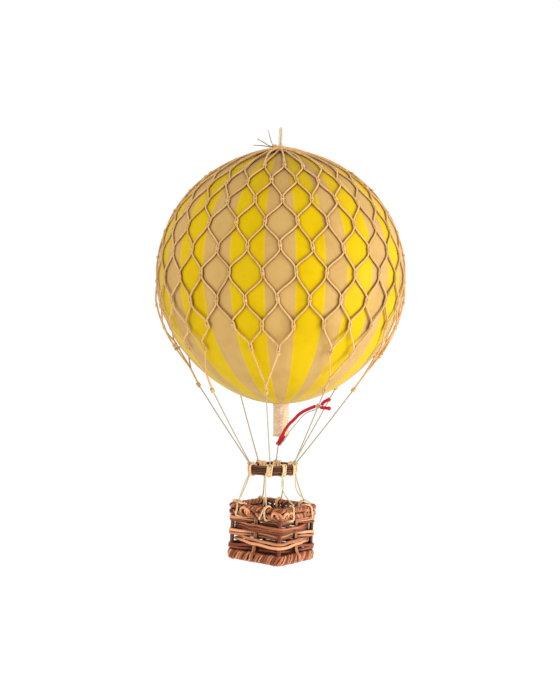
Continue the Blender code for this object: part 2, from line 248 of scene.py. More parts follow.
def set_tone(obj: Object, tone: float) -> None:
    """Writes one number over a mesh, from 0, dark, to 1, light, that tells it from its neighbours."""
    attribute = obj.data.attributes.get("tone") or obj.data.attributes.new("tone", "FLOAT", "POINT")
    attribute.data.foreach_set("value", np.full(len(obj.data.vertices), tone, np.float32))


def dress(
    obj: Object, material: Material | None, slot: str, body: Body | None, *nodes: str,
) -> None:
    """Gives a finished piece its material and the body that it rides on, and hides the solids that it stands
    for.

    Args:
        obj: The piece.
        material: Its finish, or None where its faces have theirs already.
        slot: The record's material slot, which is not used.
        body: The body that it rides on, or None where the piece spans two and is left unattached.
        *nodes: The solids that it stands for.
    """
    if material is not None:
        obj.data.materials.clear()
        obj.data.materials.append(material)
    if body is not None:
        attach(obj, body.value)
    if nodes:
        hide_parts(*nodes)
    triangles = sum(len(face.vertices) - 2 for face in obj.data.polygons)
    LOG.info("%s: %d triangles, stands for %s", obj.name, triangles, ", ".join(nodes) or "trim")


# Materials


class Nodes:
    """A node material under construction, with short ways to add and join its nodes."""

    def __init__(self, name: str) -> None:
        """Starts a material of this name that has only its shader."""
        self.material = bpy.data.materials.new(name)
        self.material.use_nodes = True
        self.tree = self.material.node_tree
        self.shader = self.tree.nodes["Principled BSDF"]

    def add(self, kind: str, inputs: dict[int | str, object], **settings: object) -> bpy.types.Node:
        """Adds a node, sets it and feeds its inputs.

        Args:
            kind: The node's type, without ShaderNode before it.
            inputs: Values or sockets by the inputs' names or numbers.
            **settings: The node's own settings.

        Returns:
            The node.
        """
        node = self.tree.nodes.new("ShaderNode" + kind)
        for name, value in settings.items():
            setattr(node, name, value)
        for key, value in inputs.items():
            self.feed(node.inputs[key], value)
        return node

    def feed(self, socket: Socket, value: object) -> None:
        """Links a socket to another one, or sets its value."""
        if isinstance(value, Socket):
            self.tree.links.new(value, socket)
        else:
            socket.default_value = value

    def shade(self, **inputs: object) -> None:
        """Feeds the shader's inputs, named with _ for each space."""
        for name, value in inputs.items():
            self.feed(self.shader.inputs[name.replace("_", " ")], value)

    def maths(self, operation: str, first: object, second: object = 0.0, third: object = 0.0) -> Socket:
        """Adds one sum on numbers and gives its result."""
        return self.add("Math", {0: first, 1: second, 2: third}, operation=operation).outputs[0]

    def mix(self, factor: object, first: object, second: object) -> Socket:
        """Mixes two colours and gives the result."""
        return self.add("Mix", {0: factor, 6: first, 7: second}, data_type="RGBA").outputs[2]

    def place(self, scale: Place = (1.0, 1.0, 1.0)) -> Socket:
        """Gives the point's place on the object, scaled."""
        coordinates = self.add("TexCoord", {}).outputs["Object"]
        return self.add("Mapping", {"Vector": coordinates, "Scale": scale}).outputs[0]

    def chart(self, name: str = "UVMap") -> tuple[Socket, Socket]:
        """Gives the two coordinates of a UV map of the piece."""
        chart = self.add("UVMap", {}, uv_map=name).outputs[0]
        parts = self.add("SeparateXYZ", {0: chart})
        return parts.outputs[0], parts.outputs[1]

    def vector(self, x: object, y: object, z: object = 0.0) -> Socket:
        """Makes a vector of three numbers."""
        return self.add("CombineXYZ", {0: x, 1: y, 2: z}).outputs[0]

    def tone(self) -> Socket:
        """Gives the number that tells one strand or rod from its neighbours."""
        return self.add("Attribute", {}, attribute_name="tone").outputs["Fac"]

    def noise(self, vector: object, scale: float, detail: float = 3.0, roughness: float = 0.5) -> Socket:
        """Adds a noise over the points of a vector and gives its height."""
        inputs = {"Vector": vector, "Scale": scale, "Detail": detail, "Roughness": roughness}
        return self.add("TexNoise", inputs).outputs[0]

    def between(
        self, value: object, low: float, high: float, first: float = 0.0, second: float = 1.0,
    ) -> Socket:
        """Maps a number's range low to high onto first to second, clamped and eased."""
        inputs = {0: value, 1: low, 2: high, 3: first, 4: second}
        return self.add("MapRange", inputs, interpolation_type="SMOOTHSTEP").outputs[0]

    def nook(self, reach: float, alone: bool = True) -> Socket:
        """Gives how open a point lies, 0 in a nook to 1, among faces within reach, alone its own piece's."""
        node = self.add("AmbientOcclusion", {"Distance": reach}, samples=6, only_local=alone)
        return node.outputs["AO"]

    def bump(self, height: object, distance: float, strength: float = 1.0, below: object = None) -> Socket:
        """Raises the surface by a height and gives the new normal.

        Args:
            height: The height, from 0 to 1.
            distance: How high a height of 1 stands, in metres.
            strength: How much of it shows.
            below: The normal of a coarser bump under this one.

        Returns:
            The normal.
        """
        inputs = {"Height": height, "Distance": distance, "Strength": strength}
        if below is not None:
            inputs["Normal"] = below
        return self.add("Bump", inputs).outputs[0]


@dataclass(frozen=True)
class GoreCloth:
    """Cloth of one glued stripe: streaked from pole to pole, with painted shade towards the crown and painted
    shadow beside the cords.
    """

    name: str
    middle: Colour
    edge: Colour
    stain_and_crown_shade: Colour
    shade: Colour
    edge_share: float = 0.5
    roughness: float = 0.42
    thread: float = 0.00045

    def material(self) -> Material:
        """Builds the finish from the gore's own charts."""
        nodes = Nodes(self.name)
        across, along = nodes.chart("Gore")
        from_middle = nodes.maths("ABSOLUTE", nodes.maths("SUBTRACT", across, 0.5))
        ragged = nodes.noise(nodes.place(), 240.0, 3.0, 0.6)
        edge_place = nodes.maths("ADD", from_middle, nodes.maths("MULTIPLY", ragged, 0.05))
        edge = nodes.between(edge_place, 0.43, 0.53, 0.0, self.edge_share)
        streaks = nodes.noise(nodes.vector(nodes.maths("MULTIPLY", across, 22.0), along, 0.0), 3.0, 5.0, 0.6)
        blots = nodes.noise(nodes.place(), 46.0, 4.0, 0.6)
        colour = nodes.mix(edge, self.middle, self.edge)
        colour = nodes.mix(nodes.between(blots, 0.42, 0.72, 0.0, 0.35), colour, self.stain_and_crown_shade)
        colour = nodes.mix(nodes.between(streaks, 0.5, 0.74, 0.0, 0.28), colour, self.stain_and_crown_shade)
        # Painted shade: the cloth grows darker from mid-latitude up to the crown, in the same colour as the
        # stains
        colour = nodes.mix(nodes.between(along, 0.5, 1.35, 0.0, 0.8), colour, self.stain_and_crown_shade)
        # Painted shadow of the net on the cloth: darker where the cords and knots close in
        open_share = nodes.nook(0.0028, alone=False)
        colour = nodes.mix(nodes.between(open_share, 0.45, 0.96, 0.85, 0.0), colour, self.shade)
        weft, warp = nodes.chart("Weave")
        turns = tau / self.thread
        over = nodes.maths("SINE", nodes.maths("MULTIPLY", weft, turns))
        under = nodes.maths("SINE", nodes.maths("MULTIPLY", warp, turns))
        weave = nodes.maths("MULTIPLY_ADD", nodes.maths("MULTIPLY", over, under), 0.5, 0.5)
        rough = nodes.bump(blots, 0.0006, 0.35)
        normal = nodes.bump(weave, 0.00004, 0.5, nodes.bump(streaks, 0.0002, 0.3, rough))
        nodes.shade(Base_Color=colour, Normal=normal, Roughness=self.roughness, Specular_IOR_Level=0.06)
        return nodes.material


@dataclass(frozen=True)
class Twine:
    """Twisted twine, whose plies run round the strand along its own chart, with painted shade between the
    plies and in its nooks.
    """

    name: str
    light: Colour
    middle: Colour
    dark: Colour
    diameter: float
    plies: int = 3
    turn: float = 0.0042
    roughness: float = 0.78
    relief: float = 0.14
    sheen: float = 0.05

    def material(self) -> Material:
        """Builds the finish from metres along the strand and the share round it."""
        nodes = Nodes(self.name)
        along, around = nodes.chart()
        tone = nodes.tone()
        turned = nodes.maths("ADD", nodes.maths("DIVIDE", along, self.turn), around)
        across_ply = nodes.maths("MULTIPLY", turned, float(self.plies))
        ridge = nodes.maths("ABSOLUTE", nodes.maths("SINE", nodes.maths("MULTIPLY", across_ply, pi)))
        ridge = nodes.maths("POWER", ridge, 0.6)
        fibre_place = nodes.vector(
            nodes.maths("MULTIPLY", across_ply, 5.0), nodes.maths("MULTIPLY", along, 520.0), tone,
        )
        fibres = nodes.noise(fibre_place, 1.6, 4.0, 0.65)
        patches = nodes.noise(nodes.place(), 160.0, 3.0, 0.6)
        lit = nodes.maths("MULTIPLY_ADD", fibres, 0.9, nodes.maths("MULTIPLY_ADD", tone, 0.35, -0.12))
        colour = nodes.mix(nodes.between(lit, 0.25, 0.85), self.middle, self.light)
        # Painted shade in the grooves between the plies, where the relief is lowest
        hollow = nodes.between(ridge, 0.1, 0.75, 0.75, 0.0)
        colour = nodes.mix(hollow, colour, self.dark)
        colour = nodes.mix(nodes.between(patches, 0.52, 0.8, 0.0, 0.4), colour, self.dark)
        # Painted shade where the piece's own cords cross and touch
        open_share = nodes.nook(self.diameter)
        colour = nodes.mix(nodes.between(open_share, 0.25, 0.85, 0.8, 0.0), colour, self.dark)
        height = nodes.maths("MULTIPLY_ADD", fibres, 0.25, nodes.maths("MULTIPLY", ridge, 0.75))
        normal = nodes.bump(height, self.relief * self.diameter, 0.9)
        nodes.shade(Base_Color=colour, Normal=normal, Roughness=self.roughness)
        nodes.shade(Specular_IOR_Level=0.15, Sheen_Weight=self.sheen, Sheen_Roughness=0.5)
        return nodes.material


@dataclass(frozen=True)
class Cane:
    """Stained and varnished willow or cane, with long grain along each rod and painted shade in its nooks."""

    name: str
    light: Colour
    middle: Colour
    dark: Colour
    roughness: float = 0.36
    varnish: float = 0.08
    ridges: float = 5.0
    relief: float = 0.00016
    contrast: float = 1.0
    nook_reach: float = 0.0035
    alone: bool = True

    def material(self) -> Material:
        """Builds the finish from metres along the rod, the share round it and the rod's tone."""
        nodes = Nodes(self.name)
        along, around = nodes.chart()
        tone = nodes.tone()
        angle = nodes.maths("MULTIPLY", around, tau)
        side = nodes.maths("MULTIPLY", nodes.maths("SINE", angle), self.ridges)
        front = nodes.maths("MULTIPLY", nodes.maths("COSINE", angle), self.ridges)
        offset = nodes.maths("MULTIPLY_ADD", tone, 31.0, nodes.maths("MULTIPLY", along, 70.0))
        grain = nodes.noise(nodes.vector(side, front, offset), 0.9, 5.0, 0.62)
        patch = nodes.noise(nodes.vector(side, front, nodes.maths("MULTIPLY", offset, 2.2)), 0.22, 3.0, 0.55)
        specks = nodes.noise(nodes.place(), 700.0, 3.0, 0.6)
        lit = nodes.maths("MULTIPLY_ADD", grain, 0.75, nodes.maths("MULTIPLY_ADD", tone, 0.42, -0.1))
        lit = nodes.maths("MULTIPLY_ADD", patch, 0.35, nodes.maths("SUBTRACT", lit, 0.16))
        colour = nodes.mix(nodes.between(lit, 0.14, 0.46), self.dark, self.middle)
        colour = nodes.mix(nodes.between(lit, 0.38, 0.7, 0.0, self.contrast), colour, self.light)
        colour = nodes.mix(nodes.between(specks, 0.58, 0.78, 0.0, 0.6), colour, self.dark)
        # Painted shade where faces within reach close in: between rods and turns, in the borders and inside
        # the basket
        open_share = nodes.nook(self.nook_reach, self.alone)
        colour = nodes.mix(nodes.between(open_share, 0.18, 0.8, 0.92, 0.0), colour, self.dark)
        normal = nodes.bump(grain, self.relief, 0.8, nodes.bump(patch, self.relief * 2, 0.5))
        rough = nodes.between(grain, 0.3, 0.7, self.roughness - 0.08, self.roughness + 0.14)
        nodes.shade(Base_Color=colour, Normal=normal, Roughness=rough)
        nodes.shade(Coat_Weight=self.varnish, Coat_Roughness=0.22, Specular_IOR_Level=0.16)
        return nodes.material


@dataclass(frozen=True)
class SleeveCloth:
    """Stiffened cloth of the neck: upright creases with painted light and shade, a warmer blush in places, a
    little light let through.
    """

    name: str
    light: Colour
    middle: Colour
    blush: Colour

    def material(self) -> Material:
        """Builds the finish from the sleeve's chart, share round it and metres down."""
        nodes = Nodes(self.name)
        around, down = nodes.chart()
        angle = nodes.maths("MULTIPLY", around, tau)
        ring = nodes.vector(
            nodes.maths("MULTIPLY", nodes.maths("SINE", angle), 3.0),
            nodes.maths("MULTIPLY", nodes.maths("COSINE", angle), 3.0),
            nodes.maths("MULTIPLY", down, 24.0),
        )
        creases = nodes.noise(ring, 1.5, 4.0, 0.6)
        weave = nodes.noise(nodes.place((1.0, 1.0, 0.35)), 2600.0, 2.0, 0.6)
        # Painted light and shade on the creases: lighter where they rise, darker in their hollows
        colour = nodes.mix(nodes.between(creases, 0.42, 0.58), self.middle, self.light)
        blush = nodes.noise(nodes.place(), 90.0, 2.0, 0.5)
        colour = nodes.mix(nodes.between(blush, 0.45, 0.7, 0.0, 0.6), colour, self.blush)
        normal = nodes.bump(weave, 0.00008, 0.6, nodes.bump(creases, 0.0007, 0.5))
        nodes.shade(Base_Color=colour, Normal=normal, Roughness=0.62, Sheen_Weight=0.1)
        nodes.shade(Subsurface_Weight=0.15, Subsurface_Scale=0.002, Specular_IOR_Level=0.3)
        return nodes.material


@dataclass(frozen=True)
class Finishes:
    """Every finish of the model, built once."""

    yellow: Material
    tan: Material
    net_twine: Material
    line_twine: Material
    basket_twine: Material
    tie_twine: Material
    cream_cord: Material
    crimson_yarn: Material
    sleeve: Material
    willow: Material
    dark_willow: Material
    ring_cane: Material


def mix_finishes() -> Finishes:
    """Builds all the materials of the model.

    Returns:
        The finishes by name.
    """
    return Finishes(
        yellow=GoreCloth(
            "yellow_gore", srgb(205, 171, 0), srgb(210, 180, 20), srgb(176, 142, 0), srgb(112, 70, 0),
        ).material(),
        tan=GoreCloth(
            "tan_gore", srgb(192, 155, 92), srgb(196, 162, 100), srgb(164, 125, 68), srgb(98, 60, 20),
            edge_share=0.2,
        ).material(),
        net_twine=Twine(
            "net_twine", srgb(236, 196, 138), srgb(208, 162, 104), srgb(112, 66, 30), 0.0012, relief=0.08,
        ).material(),
        line_twine=Twine(
            "line_twine", srgb(196, 182, 144), srgb(168, 150, 110), srgb(104, 84, 54), 0.001, plies=2,
        ).material(),
        basket_twine=Twine(
            "basket_twine", srgb(236, 222, 184), srgb(212, 194, 150), srgb(140, 112, 72), 0.0012, plies=2,
        ).material(),
        tie_twine=Twine(
            "tie_twine", srgb(252, 218, 170), srgb(240, 198, 146), srgb(150, 96, 54), 0.0013, plies=2,
            relief=0.08,
        ).material(),
        cream_cord=Twine(
            "cream_cord", srgb(240, 228, 204), srgb(224, 208, 180), srgb(168, 146, 110), 0.0016,
            turn=0.003, relief=0.05,
        ).material(),
        crimson_yarn=Twine(
            "crimson_yarn", srgb(214, 44, 54), srgb(186, 12, 34), srgb(100, 2, 12), 0.0019, plies=2,
            turn=0.0046,
        ).material(),
        sleeve=SleeveCloth(
            "sleeve_cloth", srgb(222, 200, 168), srgb(196, 168, 132), srgb(208, 154, 122),
        ).material(),
        # The willows' reach of 3 cm, among all pieces, paints shade over the inside of the basket
        willow=Cane(
            "willow", srgb(234, 164, 116), srgb(142, 68, 36), srgb(32, 6, 1), roughness=0.3,
            nook_reach=0.03, alone=False,
        ).material(),
        dark_willow=Cane(
            "dark_willow", srgb(152, 80, 52), srgb(104, 44, 24), srgb(30, 8, 3), contrast=0.8,
            nook_reach=0.03, alone=False,
        ).material(),
        ring_cane=Cane(
            "ring_cane", srgb(140, 96, 66), srgb(80, 44, 28), srgb(26, 11, 6), roughness=0.5, varnish=0.05,
            contrast=0.9,
        ).material(),
    )


# Cords and rods


@dataclass(frozen=True)
class Make:
    """How a cord or rod is made up.

    A plied strand has one lobe for each ply and is turned about its own line. Without plies it is round.
    """

    diameter: float
    plies: int = 0
    turn: float = 0.004
    sides: int = 10
    groove: float = 0.22

    def profile(self) -> Object:
        """Draws the cross-section as a closed flat curve."""
        data = bpy.data.curves.new("section", "CURVE")
        data.dimensions = "2D"
        spline = data.splines.new("POLY")
        spline.points.add(self.sides - 1)
        # Between the circles inside and outside of its corners, so that few sides don't thin the cord
        mean = self.diameter / 2 / sqrt(cos(pi / self.sides))
        for index, point in enumerate(spline.points):
            angle = tau * index / self.sides
            lobe = abs(cos(self.plies * angle / 2)) if self.plies else 1.0
            radius = mean * (1.0 - self.groove * (1.0 - lobe))
            point.co = (radius * cos(angle), radius * sin(angle), 0.0, 1.0)
        spline.use_cyclic_u = True
        return add_object("section", data)


@dataclass
class Strand:
    """One cord or rod along a route.

    Attributes:
        points: The points of its centreline.
        make: Its make-up.
        tone: What tells it from its neighbours, from 0, dark, to 1, light.
        closed: Whether it runs back to its start.
        taper: How thick its two ends are against its middle.
    """

    points: list[Vector]
    make: Make
    tone: float = 0.5
    closed: bool = False
    taper: float = 1.0

    def stations(self) -> list[float]:
        """Gives each point's distance along the strand."""
        found = [0.0]
        for before, after in zip(self.points, self.points[1:]):
            found.append(found[-1] + (after - before).length)
        if self.closed:
            found.append(found[-1] + (self.points[0] - self.points[-1]).length)
        return found

    def curve(self, section: Object) -> Object:
        """Draws the strand as a curve with a thickness.

        Args:
            section: Its cross-section.

        Returns:
            The curve's object.
        """
        data = bpy.data.curves.new("strand", "CURVE")
        data.dimensions = "3D"
        data.bevel_mode = "OBJECT"
        data.bevel_object = section
        data.use_fill_caps = not self.closed
        spline = data.splines.new("POLY")
        spline.points.add(len(self.points) - 1)
        stations = self.stations()
        whole = stations[-1]
        # A closed strand turns a whole number of half times, so that its lobes meet
        turns = whole / self.make.turn if self.make.plies else 0.0
        if self.closed and self.make.plies:
            turns = round(turns * self.make.plies) / self.make.plies
        for point, at, station in zip(spline.points, self.points, stations):
            point.co = (*at, 1.0)
            point.tilt = tau * turns * station / whole
            if self.taper != 1.0:
                near_end = min(station, whole - station) / (2 * self.make.diameter)
                point.radius = self.taper + (1.0 - self.taper) * min(1.0, near_end)
        spline.use_cyclic_u = self.closed
        return add_object("strand", data)

    def chart(self, obj: Object) -> None:
        """Turns the mesh's first chart coordinate into metres along the strand and writes its tone.

        Args:
            obj: The strand's mesh object.
        """
        stations = self.stations()
        chart = obj.data.uv_layers.active
        if chart is None:
            chart = obj.data.uv_layers.new(name="UVMap")
        chart.name = "UVMap"
        uv = np.zeros(len(obj.data.loops) * 2, np.float32)
        chart.uv.foreach_get("vector", uv)
        index = uv[0::2] * (len(stations) - 1)
        uv[0::2] = np.interp(index, np.arange(len(stations)), stations)
        chart.uv.foreach_set("vector", uv)
        set_tone(obj, self.tone)


def make_strands(strands: Sequence[Strand], name: str) -> Object:
    """Draws the strands as curves, turns them into meshes and joins them in one piece.

    Args:
        strands: The strands.
        name: The piece's name.

    Returns:
        The piece, at the origin, its caps merged and its faces turned outwards.
    """
    sections = {make: make.profile() for make in {strand.make for strand in strands}}
    curves = [strand.curve(sections[strand.make]) for strand in strands]
    select(curves)
    bpy.ops.object.convert(target="MESH")
    for strand, obj in zip(strands, curves):
        strand.chart(obj)
    piece = join(curves, name)
    for section in sections.values():
        bpy.data.objects.remove(section, do_unlink=True)
    close_mesh(piece)
    return piece


def coil(centre: Vector, axis: Vector, radius: float, turns: float, rise: float) -> list[Vector]:
    """Lays points along a coil.

    Args:
        centre: The middle of the coil.
        axis: The line that it winds about.
        radius: From the axis to the cord's centreline.
        turns: How often it goes round.
        rise: How far it moves along the axis in all.

    Returns:
        The points of its centreline.
    """
    along = axis.normalized()
    side = along.orthogonal().normalized()
    other = along.cross(side)
    steps_a_turn = 12
    count = max(2, round(turns * steps_a_turn))
    points = []
    for step in range(count + 1):
        share = step / count
        angle = tau * turns * share
        spoke = side * cos(angle) + other * sin(angle)
        points.append(centre + spoke * radius + along * rise * (share - 0.5))
    return points


def bead(centre: Vector, radius: float, name: str, squash: float) -> Object:
    """Makes a small lumpy knot body.

    Args:
        centre: Its middle.
        radius: Its radius.
        name: Its name.
        squash: Its height against its width.

    Returns:
        The bead, with a chart and a tone.
    """
    deselect_all()
    bpy.ops.mesh.primitive_uv_sphere_add(segments=16, ring_count=10, radius=radius, location=centre)
    bpy.context.object.scale = (1.0, 1.0, squash)
    obj = take_primitive()
    for vertex in obj.data.vertices:
        away = vertex.co - centre
        lump = sin(9.0 * away.x / radius) * sin(7.0 * away.z / radius + 1.0)
        vertex.co = centre + away * (1.0 + 0.07 * lump)
    obj.name = name
    measure_chart(obj, radius)
    set_tone(obj, 0.5)
    bpy.ops.object.shade_smooth()
    return obj


# The parts of the model


@dataclass
class Studio:
    """The camera at the photograph's viewing angle, soft lights and a pale floor well below the model.

    A soft box is given by where it stands, its side in metres and its power in watts.
    """

    eye: Place = (-0.0006, -0.81, -0.164)
    lens_mm: float = 56.65
    film_mm: float = 36.0
    floor_z: float = -0.75
    floor_size: float = 12.0
    model_middle: Place = (0.0, 0.0, -0.15)
    ambient: float = 1.04
    right_box: tuple[Place, float, float] = ((1.16, -0.35, -0.22), 0.55, 12.0)
    left_box: tuple[Place, float, float] = ((-0.75, -1.05, -0.1), 0.35, 3.0)

    def add_camera(self) -> None:
        """Sets the camera level, at the height of the picture's middle."""
        data = bpy.data.cameras.new("camera")
        data.sensor_fit = "VERTICAL"
        data.sensor_height = self.film_mm
        data.lens = self.lens_mm
        data.clip_start = 0.01
        camera = add_object("camera", data)
        camera.location = self.eye
        camera.rotation_euler = (pi / 2, 0.0, 0.0)
        bpy.context.scene.camera = camera

    def add_light(self, name: str, place: Place, size: float, power: float) -> None:
        """Adds a square soft box that faces the model.

        Args:
            name: Its name.
            place: Where it stands.
            size: Its side in metres.
            power: Its power in watts.
        """
        data = bpy.data.lights.new(name, "AREA")
        data.shape = "SQUARE"
        data.size = size
        data.energy = power
        lamp = add_object(name, data)
        lamp.location = place
        towards = Vector(self.model_middle) - Vector(place)
        lamp.rotation_euler = towards.to_track_quat("-Z", "Y").to_euler()

    def add_world(self) -> None:
        """Surrounds the scene with even white light."""
        world = bpy.data.worlds.new("studio")
        world.use_nodes = True
        background = world.node_tree.nodes["Background"]
        background.inputs["Color"].default_value = (1.0, 1.0, 1.0, 1.0)
        background.inputs["Strength"].default_value = self.ambient
        bpy.context.scene.world = world
        bpy.context.scene.view_settings.view_transform = "Standard"

    def add_floor(self) -> None:
        """Lays a plain pale floor of matt board."""
        deselect_all()
        bpy.ops.mesh.primitive_plane_add(size=self.floor_size, location=(0.0, 0.0, self.floor_z))
        floor = bpy.context.object
        floor.name = "floor"
        nodes = Nodes("pale_floor")
        grain = nodes.noise(nodes.place(), 60.0, 3.0, 0.5)
        colour = nodes.mix(grain, srgb(250, 250, 249), srgb(254, 254, 254))
        nodes.shade(Base_Color=colour, Roughness=0.9, Specular_IOR_Level=0.1)
        floor.data.materials.append(nodes.material)

    def build(self) -> None:
        """Sets up the camera, the lights and the floor."""
        self.add_camera()
        self.add_world()
        self.add_light("soft_box_right", *self.right_box)
        self.add_light("soft_box_left", *self.left_box)
        self.add_floor()
        LOG.info("studio: camera, two soft boxes and a floor")


@dataclass
class Envelope:
    """The round hollow ball of alternate yellow and tan gores, drawn down a little round the neck.

    The gores' edges that show in front are given in degrees; those behind share the rest evenly.
    """

    finishes: Finishes
    front_edges: tuple[float, ...] = (-62.0, -50.5, -35.4, -22.1, -6.9, 6.3, 19.3, 29.5, 43.5, 55.8)
    gores: int = 28
    steps_per_gore: int = 5
    rings: int = 84
    wall: float = 0.003
    neck_hole: float = 0.0047
    pillow: float = 0.00022
    tilt: float = radians(9.0)
    belly: float = 0.0036
    belly_reach: float = 0.068

    def hang(self, level: float) -> float:
        """Gives how far the ball's foot hangs below a true ball, at a distance from the axis."""
        return self.belly * max(0.0, 1.0 - (level / self.belly_reach) ** 2) ** 2

    def edges(self) -> list[float]:
        """Works out the azimuth of each gore's first edge and, last, of the whole turn's end."""
        front = [radians(degrees) for degrees in self.front_edges]
        hidden = self.gores - len(front) + 1
        step = (tau - (front[-1] - front[0])) / hidden
        return front + [front[-1] + step * (index + 1) for index in range(hidden)]

    def warp(self, obj: Object, centre: Vector, radius: float) -> None:
        """Moves the ball's even meridians to the gores' edges and lets each gore swell a little.

        Args:
            obj: The ball.
            centre: Its middle.
            radius: Its radius.
        """
        edges = self.edges()
        segments = self.gores * self.steps_per_gore
        pole = radians(89.9)
        charts = {name: obj.data.uv_layers.new(name=name) for name in ("Gore", "Weave")}
        even = {}
        for vertex in obj.data.vertices:
            away = vertex.co - centre
            level = hypot(away.x, away.y)
            azimuth = atan2(away.x, -away.y) % tau
            column = round(azimuth / tau * segments) % segments
            latitude = atan2(away.z, level)
            even[vertex.index] = (column, latitude)
            if level < radius * 1e-4:
                continue
            gore, step = divmod(column, self.steps_per_gore)
            share = step / self.steps_per_gore
            turned = edges[gore] + (edges[gore + 1] - edges[gore]) * share
            swell = self.pillow * cos(latitude) * (sin(pi * share) ** 0.7 - 0.6)
            vertex.co = centre + on_ball(turned, latitude, radius + swell)
        for face in obj.data.polygons:
            corners = [even[obj.data.loops[loop].vertex_index] for loop in face.loop_indices]
            columns = [column for column, latitude in corners if abs(latitude) < pole]
            first = min(columns) if max(columns) - min(columns) < 2 else segments - 1
            gore = first // self.steps_per_gore
            width = edges[gore + 1] - edges[gore]
            for loop, (column, latitude) in zip(face.loop_indices, corners):
                step = 0.5 if abs(latitude) > pole else (column - first) % segments
                share = (first - gore * self.steps_per_gore + step) / self.steps_per_gore
                charts["Gore"].data[loop].uv = (share, latitude)
                across = (share - 0.5) * width * radius * cos(latitude)
                charts["Weave"].data[loop].uv = (across, latitude * radius)
            face.material_index = gore % 2

    def build(self) -> None:
        """Builds the ball, cuts the neck hole, gives it a wall and dresses it."""
        low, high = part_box("envelope")
        radius = (high.x - low.x) / 2
        centre = Vector(((low.x + high.x) / 2, (low.y + high.y) / 2, high.z - radius))
        deselect_all()
        bpy.ops.mesh.primitive_uv_sphere_add(
            segments=self.gores * self.steps_per_gore, ring_count=self.rings, radius=radius, location=centre,
        )
        obj = take_primitive()
        # The ball's first meridian is turned to the viewer, where azimuths start
        obj.data.transform(
            Matrix.Translation(centre) @ Matrix.Rotation(-pi / 2, 4, "Z") @ Matrix.Translation(-centre)
        )
        while obj.data.uv_layers:
            obj.data.uv_layers.remove(obj.data.uv_layers[0])
        self.warp(obj, centre, radius)
        # The gores meet a little in front of the top, and the foot is drawn down round the neck
        for vertex in obj.data.vertices:
            away = vertex.co - centre
            share = max(0.0, away.z / radius) ** 2
            if away.z < 0:
                away.z -= self.hang(hypot(away.x, away.y))
            vertex.co = centre + Matrix.Rotation(self.tilt * share, 3, "X") @ away
        hole_z = centre.z - sqrt(radius ** 2 - self.neck_hole ** 2) - self.hang(self.neck_hole)
        with editing(obj):
            bpy.ops.mesh.select_all(action="SELECT")
            bpy.ops.mesh.bisect(plane_co=(0.0, 0.0, hole_z), plane_no=(0.0, 0.0, -1.0), clear_outer=True)
        obj.name = "striped_envelope"
        obj.data.materials.append(self.finishes.tan)
        obj.data.materials.append(self.finishes.yellow)
        apply_modifier(obj, "SOLIDIFY", thickness=self.wall, offset=-1.0)
        bpy.ops.object.shade_smooth_by_angle(angle=SHEET_EDGE)
        dress(obj, None, "envelope_cloth", Body.BALLOON, "envelope")


@dataclass
class Neck:
    """The open sleeve under the envelope, creased, with a rolled hem and a small tied bead at its top."""

    finishes: Finishes
    sides: int = 48
    levels: int = 16
    wall: float = 0.0007
    inset: float = 0.0002
    hem_cord: float = 0.0011
    crease: float = 0.00035
    bead_azimuth: float = radians(40.0)
    bead_radius: float = 0.0011

    def build(self) -> None:
        """Builds the sleeve from an open cylinder and dresses it."""
        low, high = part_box("neck_tube")
        centre = (low + high) / 2
        radius = (high.x - low.x) / 2
        height = high.z - low.z
        deselect_all()
        bpy.ops.mesh.primitive_cylinder_add(
            vertices=self.sides, radius=radius - self.inset, depth=height, end_fill_type="NOTHING",
            location=centre,
        )
        obj = take_primitive()
        with editing(obj):
            shape = bmesh.from_edit_mesh(obj.data)
            for edge in shape.edges:
                edge.select = abs(edge.verts[0].co.z - edge.verts[1].co.z) > height / 2
            shape.select_flush_mode()
            bmesh.update_edit_mesh(obj.data)
            bpy.ops.mesh.subdivide(number_cuts=self.levels)
        for vertex in obj.data.vertices:
            away = vertex.co - centre
            angle = atan2(away.x, -away.y)
            down = (high.z - vertex.co.z) / height
            fold = sin(5 * angle + 1.2 * sin(3.0 * down)) + 0.6 * sin(9 * angle + 2.0 + down)
            grow = 1.0 + self.crease / radius * fold * (0.35 + 0.65 * down)
            vertex.co.x = centre.x + away.x * grow
            vertex.co.y = centre.y + away.y * grow
        obj.data.uv_layers.active.name = "UVMap"
        apply_modifier(obj, "SOLIDIFY", thickness=self.wall, offset=-1.0, use_rim=True)
        obj.name = "neck_sleeve"
        bpy.ops.object.shade_smooth_by_angle(angle=SHEET_EDGE)
        dress(obj, self.finishes.sleeve, "neck_cloth", Body.BALLOON, "neck_tube")
        axis = Vector((centre.x, centre.y, 0.0))
        steps = 40
        hem_points = [
            axis + outwards(tau * step / steps, radius - 0.0003, low.z + 0.0006) for step in range(steps)
        ]
        hem = make_strands([Strand(hem_points, Make(self.hem_cord, sides=8), closed=True)], "neck_hem")
        dress(hem, self.finishes.sleeve, "neck_cloth", Body.BALLOON)
        knot_at = axis + outwards(self.bead_azimuth, radius, high.z - 0.0018)
        knot = bead(knot_at, self.bead_radius, "neck_knot", 0.9)
        dress(knot, self.finishes.basket_twine, "net_cord", Body.BALLOON)


